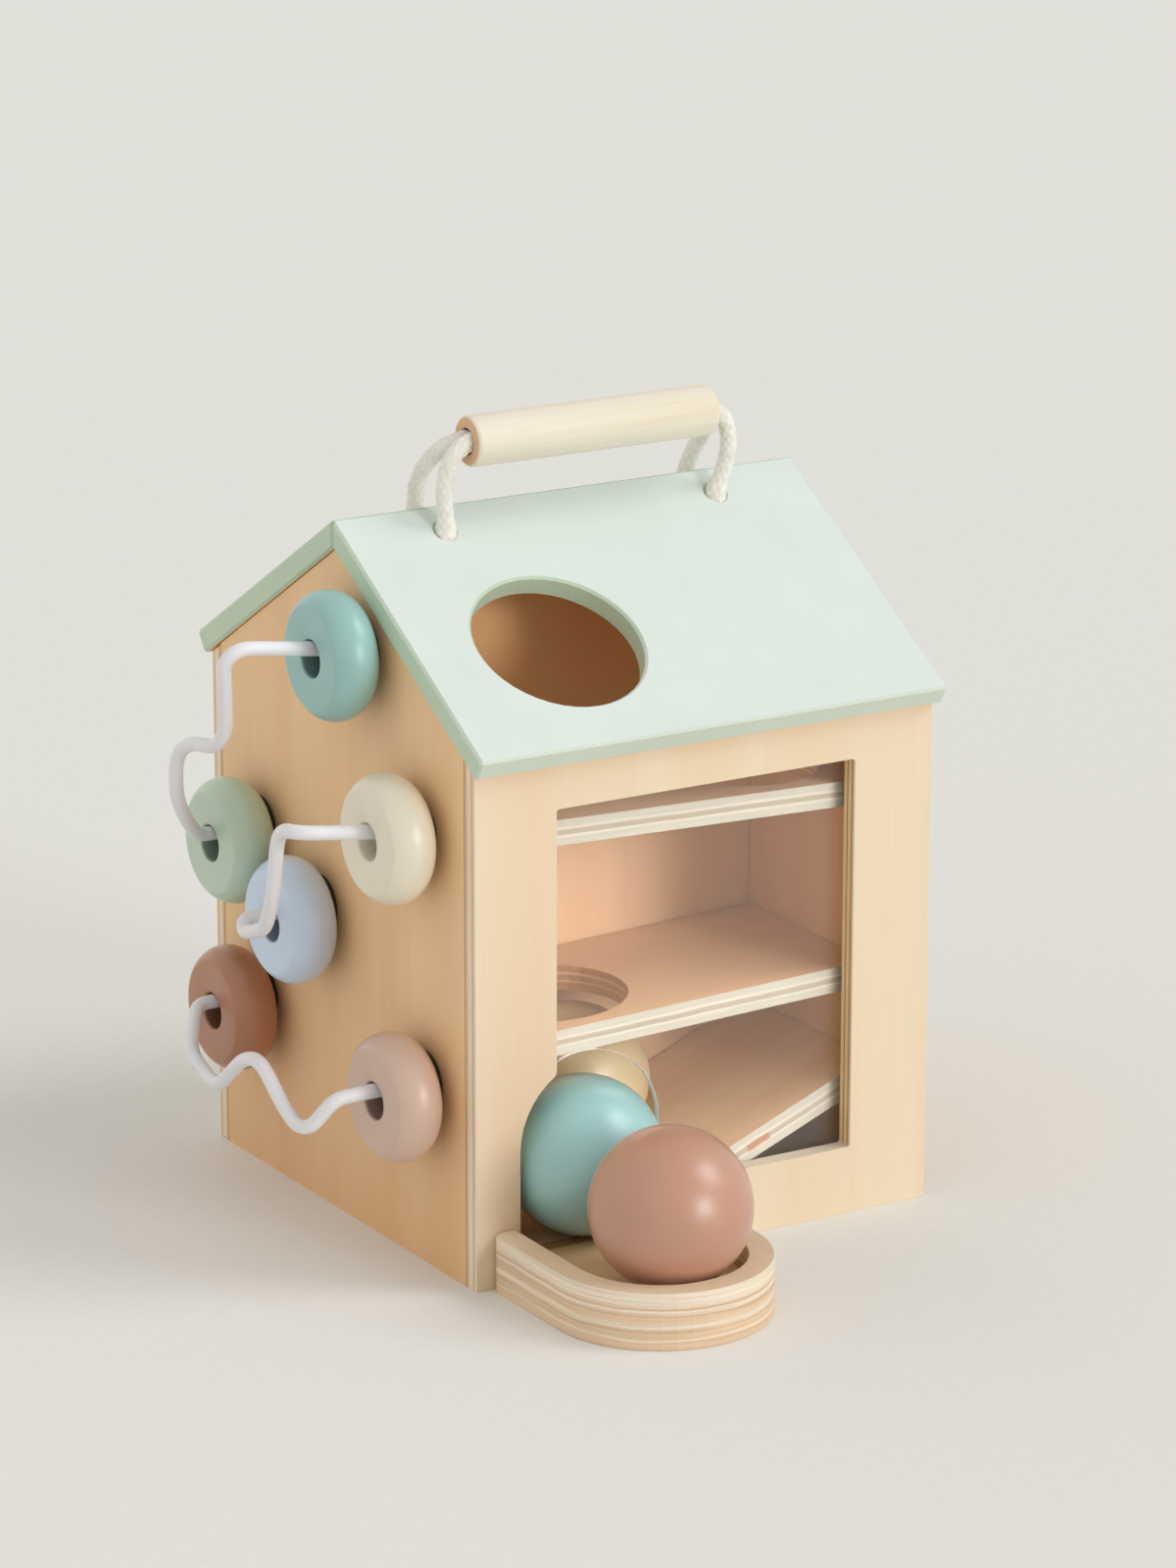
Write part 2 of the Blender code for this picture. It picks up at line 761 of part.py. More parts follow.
def build_wires(coated, black):
    """Three bent wires and the washers round their six ends."""
    for name, shares in wire_shares.items():
        wire = tube(name, wire_route(*shares), wire_radius)
        wire.data.materials.append(coated)
    for bead in bead_shares:
        name = bead.replace("bead", "washer")
        bore = wire_radius + washer_slack
        profile = ring_profile(washer_radius, bore, washer_thickness, edge_ease, edge_ease, 1)
        washer = turned(name, profile, washer_sides, parts)
        washer.rotation_euler = (0, math.pi / 2, 0)
        washer.location = wire_point(bead, seam + washer_thickness / 2)
        washer.data.materials.append(black)


def build_beads(colours):
    """Six ring beads, each hanging on its wire."""
    profile = bead_profile()
    for bead, made in colours.items():
        ring = turned(bead, profile, ring_sides, parts)
        ring.rotation_euler = (0, math.pi / 2, 0)
        ring.location = bead_place(bead)
        ring.data.materials.append(made)


def build_handle(wood, cotton):
    """Bored grip, the two ropes that pass through it, and the knots under the roof."""
    profile = ring_profile(grip_radius, grip_bore, grip_length, grip_ease, edge_ease, corner_steps)
    grip = turned("handle_grip", profile, ring_sides, parts)
    grip.rotation_euler = (0, math.pi / 2, 0)
    grip.location = (0, grip_y, grip_z)
    grip.data.materials.append(wood)

    thin_share = strand_radius / rope_radius
    for name, route in (("rope_front", front_rope_route), ("rope_back", back_rope_route)):
        points = smooth_route(route, rope_step)
        shares = []
        for point in points:
            free = min(max((abs(point.x) - grip_half) / strand_taper, 0), 1)
            shares.append(thin_share + (1 - thin_share) * free * free * (3 - 2 * free))
        tube(name, points, rope_radius, shares).data.materials.append(cotton)

    for name, x_side, y_side in (
        ("knot_front_left", -1, -1), ("knot_front_right", 1, -1),
        ("knot_back_left", -1, 1), ("knot_back_right", 1, 1),
    ):
        place = (x_side * rope_hole_spread, y_side * knot_across, ridge_under - knot_down)
        bpy.ops.mesh.primitive_uv_sphere_add(
            segments=knot_sides, ring_count=knot_sides // 2 + 1, radius=knot_radius, location=place
        )
        knot = bpy.context.object
        knot.name = name
        move_to(knot, parts)
        dress(knot, cotton)


def build():
    """Model the whole house."""
    for obj in list(bpy.data.objects):
        bpy.data.objects.remove(obj, do_unlink=True)
    for collection in (parts, cutters):
        bpy.context.scene.collection.children.link(collection)

    birch = material("birch", (0.78, 0.60, 0.40), 0.5)
    inner_birch = material("inner birch", (0.72, 0.52, 0.36), 0.6)
    ply = material("birch ply", (0.80, 0.66, 0.47), 0.5)
    mint = material("mint paint", (0.72, 0.81, 0.71), 0.45)
    cotton = material("cotton", (0.74, 0.72, 0.64), 0.9)
    teal = material("teal paint", (0.27, 0.52, 0.52), 0.35)
    cream = material("cream paint", (0.74, 0.66, 0.50), 0.35)
    terracotta = material("terracotta paint", (0.52, 0.26, 0.18), 0.35)

    build_faces(birch)
    build_gables(birch)
    build_inner_walls(inner_birch)
    build_pane(material("acrylic", (0.94, 0.90, 0.89), 0.05, transmission=0.9))
    build_ramps(ply)
    build_roof(mint)
    build_tray(ply, birch)
    build_balls(terracotta, teal, cream)
    coated = material("coated wire", (0.72, 0.72, 0.74), 0.4)
    build_wires(coated, material("black plastic", (0.03, 0.03, 0.03), 0.6))
    build_beads({
        "bead_teal": teal,
        "bead_green": material("green paint", (0.40, 0.51, 0.36), 0.35),
        "bead_cream": cream,
        "bead_blue": material("blue paint", (0.45, 0.54, 0.65), 0.35),
        "bead_brown": material("brown paint", (0.38, 0.18, 0.13), 0.35),
        "bead_pink": material("pink paint", (0.65, 0.47, 0.40), 0.35),
    })
    build_handle(birch, cotton)


build()
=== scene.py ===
"""Looks of the wooden activity house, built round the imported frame.

Metres, +Z up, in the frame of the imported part: the window faces -Y and the bead wires -X.
"""

import math
import random

import bpy
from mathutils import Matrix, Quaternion, Vector


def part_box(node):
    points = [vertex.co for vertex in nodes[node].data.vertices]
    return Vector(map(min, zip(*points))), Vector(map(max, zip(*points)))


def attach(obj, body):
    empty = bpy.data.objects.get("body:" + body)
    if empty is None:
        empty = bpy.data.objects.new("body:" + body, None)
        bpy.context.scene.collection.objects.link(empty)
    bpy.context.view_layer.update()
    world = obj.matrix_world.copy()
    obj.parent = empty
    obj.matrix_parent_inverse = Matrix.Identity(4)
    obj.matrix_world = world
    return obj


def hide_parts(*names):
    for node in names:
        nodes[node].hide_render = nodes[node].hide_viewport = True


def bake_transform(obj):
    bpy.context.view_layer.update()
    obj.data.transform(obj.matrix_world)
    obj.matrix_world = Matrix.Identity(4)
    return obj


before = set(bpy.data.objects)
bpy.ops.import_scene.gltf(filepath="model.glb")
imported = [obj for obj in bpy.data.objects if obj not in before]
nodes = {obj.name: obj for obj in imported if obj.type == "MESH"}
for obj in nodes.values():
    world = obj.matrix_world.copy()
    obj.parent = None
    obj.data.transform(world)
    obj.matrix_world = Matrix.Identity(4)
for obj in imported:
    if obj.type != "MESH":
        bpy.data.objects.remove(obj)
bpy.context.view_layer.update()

# Camera, at the photograph's place
camera_place = (-0.9140, -1.5147, 0.6423)
camera_azimuth = math.radians(-31.13)
camera_elevation = math.radians(16.53)
camera_lens = 134.03
camera_shift = (0.01215, 0.02025)

# Sizes as they are, or come out, in the part's source
seam = 0.0003
face_thickness = 0.006
gable_thickness = 0.008
floor_thickness = 0.009
ramp_thickness = 0.008
ramp_tilt = math.radians(1.8)
exit_ramp_thickness = 0.0082
exit_ramp_pitch = math.radians(21.8)
door_radius = 0.0266
door_x = -0.0398
door_spring = 0.0419
bead_bore = 0.00575
bead_bore_ease = 0.001
bead_face_share = 0.80
wire_radius = 0.00225
wire_clear = 0.021
wire_bend = 0.006
wire_sweep = 0.016
wire_seat = 0.005
wire_rise = math.radians(8.0)
washer_slack = 0.0006
rope_radius = 0.00265
grip_bore = 0.004

# Eased edges of the turned pieces
bead_crease = 0.0020
washer_ease = 0.0006
washer_bore_ease = 0.0004
grip_ease = 0.0015
grip_bore_ease = 0.0006

# Ropes: thinner and pressed tall in the grip, and fuller just above the roof
strand_radius = 0.00190
strand_taper = 0.0035
rope_squeeze = 0.75
rope_foot = 0.00080
rope_foot_top = 0.0150
rope_foot_fade = 0.0050

# The ropes' braid
braid_strands = 7
braid_pitch = 0.0040
braid_relief = 0.16

# Loose fibres on each rope, which stand off it below a height and past the grip's ends
fibre_count = 2600
fibre_height = 0.24
fibre_reach = (0.0004, 0.0021)
fibre_half_width = 0.000045
fibre_root_share = 0.88
fibre_lean = 1.4
fibre_curl = 0.5
fibre_droop = 0.45
fibre_taper = 0.7

# Tied knots: the size of the loops and of the cord as shares of the CAD knot's radius, and the
# loops' depth as a share of their size
knot_loop_share = 0.2
knot_cord_share = 0.38
knot_depth_share = 1.6

# The pane's frosted edge: how far it starts and ends inside the cut
frost_start = 0.00002
frost_end = 0.00014

# Facets and steps
smooth_angle = math.radians(50)
arch_steps = 20
crease_steps = 6
rim_steps = 30
bore_steps = 5
bead_sides = 112
washer_steps = 6
washer_sides = 64
ball_steps = 48
ball_sides = 96
grip_steps = 8
grip_sides = 96
wire_bend_step = math.radians(4)
wire_step = 0.001
wire_passes = 20
wire_sides = 24
rope_step = 0.0004
rope_sides = 56
fibre_steps = 3
fibre_sides = 3
knot_steps = 72
knot_sides = 20

# Each bead wire: its ends as shares of the clear reach past a bead, and its bends as shares
# of the way between the two beads, of that way turned square to the left, and of the reach.
# The two end corners bend tightly and the others sweep as widely as they can.
wire_shares = {
    "wire_upper": (
        "bead_teal", 1.40,
        ((0.261, -0.038, 1.000), (0.354, -0.045, 1.000), (0.487, 0.066, 1.000),
         (0.599, 0.106, 1.000), (0.745, 0.037, 0.945), (0.823, -0.003, 0.834)),
        "bead_green", 0.185,
    ),
    "wire_middle": (
        "bead_cream", 1.15,
        ((0.132, 0.155, 1.020), (0.429, -0.032, 0.933), (0.668, -0.110, 0.848),
         (0.942, -0.034, 0.770)),
        "bead_blue", 0.432,
    ),
    "wire_lower": (
        "bead_brown", 0.25,
        ((0.127, 0.070, 0.849), (0.378, 0.106, 0.956), (0.569, -0.039, 0.992),
         (0.681, -0.081, 1.003), (0.811, 0.021, 1.000), (0.922, 0.099, 0.971)),
        "bead_pink", 0.617,
    ),
}
rising_ends = ("bead_teal", "bead_cream")

# Rope routes, as in the part's source
rope_routes = {
    "rope_front": (
        (-0.0489, -0.0092, 0.2082), (-0.0489, -0.0092, 0.2130), (-0.0488, -0.0093, 0.2185),
        (-0.0491, -0.0096, 0.2230), (-0.0499, -0.0105, 0.2290), (-0.0504, -0.0121, 0.2350),
        (-0.0497, -0.0136, 0.2402), (-0.0475, -0.0147, 0.2443), (-0.0440, -0.01495, 0.2460),
        (-0.0330, -0.01495, 0.2460), (-0.0110, -0.01495, 0.2460), (0.0110, -0.01495, 0.2460),
        (0.0330, -0.01495, 0.2460), (0.0440, -0.01495, 0.2460), (0.0480, -0.0147, 0.2437),
        (0.0504, -0.0137, 0.2390), (0.0518, -0.0122, 0.2335), (0.0518, -0.0105, 0.2280),
        (0.0505, -0.0096, 0.2228), (0.0491, -0.0093, 0.2185), (0.0489, -0.0092, 0.2130),
        (0.0489, -0.0092, 0.2082),
    ),
    "rope_back": (
        (-0.0489, 0.0092, 0.2082), (-0.0489, 0.0092, 0.2130), (-0.0489, 0.0091, 0.2185),
        (-0.0496, 0.0082, 0.2240), (-0.0503, 0.0056, 0.2300), (-0.0504, 0.0010, 0.2362),
        (-0.0492, -0.0040, 0.2412), (-0.0473, -0.0085, 0.2446), (-0.0440, -0.01105, 0.2460),
        (-0.0330, -0.01105, 0.2460), (-0.0110, -0.01105, 0.2460), (0.0110, -0.01105, 0.2460),
        (0.0330, -0.01105, 0.2460), (0.0440, -0.01105, 0.2460), (0.0474, -0.0085, 0.2440),
        (0.0494, -0.0040, 0.2398), (0.0503, 0.0010, 0.2345), (0.0502, 0.0056, 0.2290),
        (0.0496, 0.0082, 0.2238), (0.0489, 0.0091, 0.2185), (0.0489, 0.0092, 0.2130),
        (0.0489, 0.0092, 0.2082),
    ),
}

# Colours, as sRGB
colours = {
    "veneer": "#EADABF", "veneer_peach": "#EACFAE", "veneer_deep": "#DDBB92",
    # The gable's birch is warmer than the front's, and made warmer still as painted warm shade; the
    # tray floor shares these tones
    "gable": "#F2CDA0", "gable_peach": "#EABF90", "gable_deep": "#D6A06C",
    # bare is the unpainted wood of the roof's underside, and also the colour of the partition's
    # painted shade
    "inner": "#ECCFAC", "inner_peach": "#E5C09A", "inner_deep": "#D6AA7A", "bare": "#EFB468",
    "ply_pale": "#C6C7BD", "ply_bright": "#D6D7CD", "ply_grey": "#B5AE9F", "ply_patch": "#B98468",
    # sill is the darker brown of the door's sill: painted shade at the threshold
    "core": "#EBDDC6", "core_peach": "#DFB98F", "sill": "#B98E5C",
    # The window's cut edge as a golden copy of the ply with brown lines: painted warm shade
    "reveal_warm_shade": "#FFDFAA", "reveal_shade_line": "#A8733F",
    # The exit ramp's birch is a lighter copy of the inner birch: painted light
    "exit": "#FADEB9", "exit_peach": "#F5CFA3", "exit_deep": "#E0B07E",
    "tray": "#E9DBC5", "tray_face": "#E5CDAF",
    "tray_side": "#E0C3A3", "tray_streak": "#EEDCC6", "tray_deep": "#D0AE8D",
    # One mint paint as painted light: lit top faces, lit eave edges and shaded other edges
    "mint_painted_lit_top": "#DAE5DF", "mint_painted_shade_side": "#C3D6BE", "mint_painted_lit_eave": "#D1DCCC",
    # grip_bore is the painted shade inside the grip's bore
    "grip": "#E9E2D0", "grip_deep": "#DFCFAA", "grip_end": "#DDB28A", "grip_bore": "#8A684C",
    "rope": "#F3F1E9", "rope_deep": "#DAD6C6",
    "wire": "#E6E6EA", "frost": "#F4F1EC",
    "black": "#17191B",
    "teal": "#94BEBA", "green": "#BACEB9", "cream": "#E9E1CC", "blue": "#C7D9EE",
    "brown": "#AF7657", "pink": "#D2B4A2",
    # The cream ball's colour is dark for a cream paint: painted shade, for the shade it sits in
    # behind the other balls
    "terracotta_ball": "#BF8D75", "teal_ball": "#A0D0D0", "cream_ball": "#C9B894",
    "floor": "#E9E9E5",
}

# Noise patterns: cycles per metre, all round or along X, Y and Z, then octaves and roughness
patterns = {
    "wood bands": (38.0, 2.0, 0.5),
    "wood flames": (160.0, 3.0, 0.6),
    "wood fibres": (1300.0, 2.0, 0.6),
    "wood flecks": (2600.0, 1.0, 0.5),
    "wood patch": (300.0, 2.0, 0.5),
    "paint mottle": (70.0, 3.0, 0.5),
    "paint peel": (950.0, 2.0, 0.5),
    "paint fibres": ((80.0, 900.0, 900.0), 2.0, 0.6),
    "paint blotches": (160.0, 2.0, 0.5),
    "roof mottle": (45.0, 3.0, 0.5),
    "roof underside": ((6.0, 160.0, 160.0), 3.0, 0.6),
    "roof peel": (700.0, 2.0, 0.5),
    "roof saw marks": ((260.0, 1500.0, 1500.0), 3.0, 0.6),
    "coating mottle": (60.0, 2.0, 0.5),
    "coating haze": (220.0, 2.0, 0.5),
    "yarn": (1800.0, 3.0, 0.7),
    "yarn shade": (260.0, 2.0, 0.5),
    "grip bands": ((5.0, 130.0, 130.0), 2.0, 0.5),
    "grip fibres": ((45.0, 1500.0, 1500.0), 2.0, 0.6),
    "grip pores": (900.0, 3.0, 0.7),
    "floor speckle": (220.0, 3.0, 0.5),
}
along_grain = 0.035

# Depths to which those patterns darken and lighten a colour
depths = {
    "wood fibres": 0.012, "paint mottle": 0.025, "roof mottle": 0.018, "roof underside": 0.08,
    "coating mottle": 0.02, "yarn": 0.06, "grip fibres": 0.03, "grip pores": 0.10,
    "floor speckle": 0.01,
}

# Bumps: height and strength
bumps = {
    "wood fibres": (0.00002, 0.35), "wood streaks": (0.00008, 0.6),
    "paint peel": (0.00003, 0.35), "paint fibres": (0.00002, 0.3),
    "roof peel": (0.00003, 0.4), "roof saw marks": (0.0003, 0.7),
    "yarn": (0.00015, 0.6), "grip fibres": (0.00003, 0.5),
}
grit_strength = 0.5

# Ranges: the ends that a value is carried from, and those that it is carried to if not 0 and 1
ranges = {
    "wood bands": (0.32, 0.70, 0.1, 0.85),
    "wood flames": (0.50, 0.90, 0.0, 0.22),
    "wood flecks": (0.70, 0.80, 0.0, 0.10),
    "wood patch": (0.3, 0.6, 0.45, 0.95),
    "wood face": (0.80, 0.90),
    "wood roughness": (0.3, 0.7, 0.46, 0.56),
    "sill facing": (0.5, 0.7),
    "sill height": (0.012, 0.016),
    "roof top": (0.55, 0.8),
    "roof eave facing": (0.5, 0.8, 1.0, 0.0),
    "roof eave place": (0.070, 0.072),
    "roof underside": (-0.84, -0.80, 1.0, 0.0),
    "roof roughness": (0.0, 1.0, 0.58, 0.44),
    "yarn shade": (0.35, 0.75, 0.0, 0.45),
    "grip bands": (0.35, 0.8, 0.0, 0.8),
    "grip end": (0.75, 0.92),
    "grip roughness": (0.3, 0.7, 0.48, 0.58),
}

# Wavering of a ply's layers: cycles per metre along and across them
waver_along = 55.0
waver_across = 160.0

# Streaks of the plies' edges: cycles per metre across and along the layers, and depth
shell_streak = (2400.0, 60.0, 0.07)
tray_streak = (1300.0, 18.0, 0.13)
ramp_streak = (900.0, 40.0, 0.06)

# How far the layers of a ply stray from level, as shares of its thickness
shell_wander = 0.05
tray_wander = 0.09
ramp_wander = 0.10

# Painted shade on a veneer: heights between which it takes another colour, that colour and its
# share
# The gable darker towards the floor: painted shade
gable_painted_shade = (0.09, 0.0, "gable_deep", 0.35)
# The partition's upper part, under the roof, deep orange: painted shade of light bounced between
# bare wood
partition_painted_shade = (0.140, 0.150, "bare", 0.60)

# Where a cut inside the outline has its own layers: for the window, an axis and the distances
# from the middle between which they end, and for the ramps' drop holes the distances from the
# front edge between which they begin
window_place = (0, 0.065, 0.070)
ramp_hole_start = 0.002
ramp_hole_whole = 0.004

# Reddish mended place in the exit ramp's edge: its ends along X, its soft border, and the
# shares of the ramp's thickness between which it starts and ends
exit_ramp_patch = (0.0185, 0.0275)
patch_border = 0.001
patch_start = (0.30, 0.38)
patch_end = (0.66, 0.58)

# Paint: its roughness, its clear coat, and the painted shade that darkens a bore and where that
# ends, as shares
wood_shine = 0.35
paint_roughness = 0.36
paint_coat = 0.7
coat_roughness = 0.36
ball_roughness = 0.33
ball_coat = 1.0
cream_ball_coat = 0.5
bore_painted_shade = 0.45
bore_painted_shade_edge_share = 1.12
grip_bore_painted_shade_edge_share = 1.15

# Lamps: name, direction towards the lamp, strength, angle in degrees, whether it shines in
# glossy surfaces, and colour
lamps = (
    ("window light", (0.298, -0.924, 0.237), 1.03, 21.0, True, (1.0, 1.0, 1.0)),
    ("high light", (0.588, -0.394, 0.706), 0.88, 26.0, True, (1.0, 1.0, 1.0)),
    ("fill", (-0.80, 0.42, 0.38), 0.96, 140.0, False, (1.0, 0.97, 0.92)),
)
surround_colour = (1.0, 0.98, 0.95, 1.0)
surround_strength = 0.47
floor_half = 12.0


def linear(colour):
    """A named or written sRGB colour as linear RGBA."""
    text = colours.get(colour, colour).lstrip("#")
    parts = [int(text[start:start + 2], 16) / 255 for start in (0, 2, 4)]
    levels = [p / 12.92 if p <= 0.04045 else ((p + 0.055) / 1.055) ** 2.4 for p in parts]
    return (*levels, 1.0)


class Finish:
    """One material's node tree, with short calls for the nodes that the finishes share."""

    def __init__(self, name):
        self.material = bpy.data.materials.new(name)
        self.material.use_nodes = True
        self.tree = self.material.node_tree
        self.tree.nodes.clear()
        source = self.node("TexCoord")
        self.here = source.outputs["Object"]
        self.facing = source.outputs["Normal"]

    def node(self, kind, inputs=None, **settings):
        """A new node, with settings and then inputs, which are values or other nodes' outputs."""
        made = self.tree.nodes.new("ShaderNode" + kind)
        for setting, value in settings.items():
            setattr(made, setting, value)
        for key, value in (inputs or {}).items():
            if isinstance(value, bpy.types.NodeSocket):
                self.tree.links.new(value, made.inputs[key])
            else:
                made.inputs[key].default_value = value
        return made

    def maths(self, operation, first, second=0.0):
        """A sum of two numbers or outputs."""
        return self.node("Math", {0: first, 1: second}, operation=operation).outputs[0]

    def turn(self, angle):
        """Lean the material's coordinates over by an angle about the Y axis."""
        for name in ("here", "facing"):
            inputs = {"Vector": getattr(self, name), "Angle": angle}
            leaned = self.node("VectorRotate", inputs, rotation_type="Y_AXIS")
            setattr(self, name, leaned.outputs[0])

    def along(self, axis, vector=None):
        """One coordinate of a place or a direction."""
        return self.node("SeparateXYZ", {0: vector or self.here}).outputs[axis]

    def off_axis(self):
        """Distance from the object's X axis."""
        across = self.node("VectorMath", {0: self.here, 1: (0.0, 1.0, 1.0)}, operation="MULTIPLY")
        return self.node("VectorMath", {0: across.outputs[0]}, operation="LENGTH").outputs[1]

    def noise(self, scale, detail=2.0, roughness=0.5):
        """Noise, finer the larger its scale is along an axis, in cycles per metre."""
        where = self.node("VectorMath", {0: self.here, 1: scale}, operation="MULTIPLY").outputs[0]
        inputs = {"Vector": where, "Scale": 1.0, "Detail": detail, "Roughness": roughness}
        return self.node("TexNoise", inputs).outputs[0]

    def pattern(self, name, shares=(1.0, 1.0, 1.0)):
        """A named noise pattern, with its scale along each axis times a share."""
        scale, detail, roughness = patterns[name]
        if isinstance(scale, float):
            scale = (scale, scale, scale)
        scale = [one * share for one, share in zip(scale, shares)]
        return self.noise(scale, detail, roughness)

    def toned(self, colour, name, value=None):
        """A colour made darker and lighter by a named pattern, which may be there already."""
        return self.tone(colour, value or self.pattern(name), depths[name])

    def ranged(self, value, name):
        """A value carried over a named range."""
        return self.spread(value, *ranges[name])

    def spread(self, value, low, high, to_low=0.0, to_high=1.0):
        """A value carried from one range to another, smoothly and held at its ends."""
        inputs = {0: value, 1: low, 2: high, 3: to_low, 4: to_high}
        return self.node("MapRange", inputs, interpolation_type="SMOOTHSTEP").outputs[0]

    def mix(self, share, first, second):
        """A mix of two colours."""
        return self.node("Mix", {0: share, 6: first, 7: second}, data_type="RGBA").outputs[2]

    def tone(self, colour, value, depth):
        """A colour made up to depth darker or lighter by a value round one half."""
        level = self.spread(value, 0.25, 0.75, 1 - depth, 1 + depth)
        if isinstance(colour, tuple):
            colour = colour[:3]
        return self.node("VectorMath", {0: colour, 3: level}, operation="SCALE").outputs[0]

    def ramp(self, value, stops):
        """Colours along a value, from (place, colour) stops."""
        made = self.node("ValToRGB", {0: value})
        elements = made.color_ramp.elements
        for index, (place, colour) in enumerate(stops):
            element = elements[index] if index < 2 else elements.new(place)
            element.position = place
            element.color = linear(colour)
        return made.outputs[0]

    def bumped(self, height, name, below=None):
        """A named bump from a height, over another bump where one is given."""
        return self.bump(height, *bumps[name], below)

    def bump(self, height, distance, strength=1.0, below=None):
        """A bump from a height, over another bump where one is given."""
        inputs = {"Height": height, "Distance": distance, "Strength": strength}
        if below:
            inputs["Normal"] = below
        return self.node("Bump", inputs).outputs[0]

    def shade(self, colour, roughness, normal=None, **sockets):
        """The Principled shader and the material's output."""
        inputs = {"Base Color": colour, "Roughness": roughness}
        if normal:
            inputs["Normal"] = normal
        for name, value in sockets.items():
            inputs[name.replace("_", " ")] = value
        shader = self.node("BsdfPrincipled", inputs).outputs[0]
        self.node("OutputMaterial", {0: shader})
        return self.material


# How the layers of a sheet follow each other through its thickness, as shares of it
shell_ply = (
    (0.0, "core_peach"), (0.22, "core_peach"), (0.28, "core"), (0.62, "core"),
    (0.68, "core_peach"), (0.80, "core_peach"), (0.86, "veneer"), (1.0, "veneer"),
)
# The window's cut edge: the ply's layers as a golden copy with brown lines, for painted warm shade
reveal_painted_shade_ply = (
    (0.0, "reveal_warm_shade"), (0.30, "reveal_warm_shade"), (0.34, "reveal_shade_line"), (0.38, "reveal_shade_line"),
    (0.43, "reveal_warm_shade"), (0.70, "reveal_warm_shade"), (0.74, "reveal_shade_line"), (0.78, "reveal_shade_line"),
    (0.83, "reveal_warm_shade"), (1.0, "veneer"),
)
ramp_ply = (
    (0.0, "ply_pale"), (0.28, "ply_pale"), (0.32, "ply_bright"), (0.38, "ply_bright"),
    (0.42, "ply_grey"), (0.58, "ply_grey"), (0.63, "ply_bright"), (0.70, "ply_bright"),
    (0.74, "ply_pale"), (1.0, "ply_pale"),
)
ramp_hole_ply = (
    (0.0, "inner_deep"), (0.28, "inner_deep"), (0.33, "inner"), (0.38, "inner"),
    (0.42, "inner_deep"), (0.58, "inner_deep"), (0.63, "inner"), (0.70, "inner"),
    (0.74, "inner_deep"), (1.0, "inner_deep"),
)
tray_ply = (
    (0.0, "tray_side"), (0.15, "tray_side"), (0.18, "tray_streak"), (0.21, "tray_side"),
    (0.30, "tray_side"), (0.33, "tray_deep"), (0.35, "tray_side"), (0.40, "tray_streak"),
    (0.44, "tray_streak"), (0.48, "tray_side"), (0.57, "tray_side"), (0.59, "tray_deep"),
    (0.61, "tray_side"), (0.66, "tray_streak"), (0.69, "tray_streak"), (0.71, "tray_deep"),
    (0.73, "tray_side"), (0.80, "tray"), (1.0, "tray"),
)


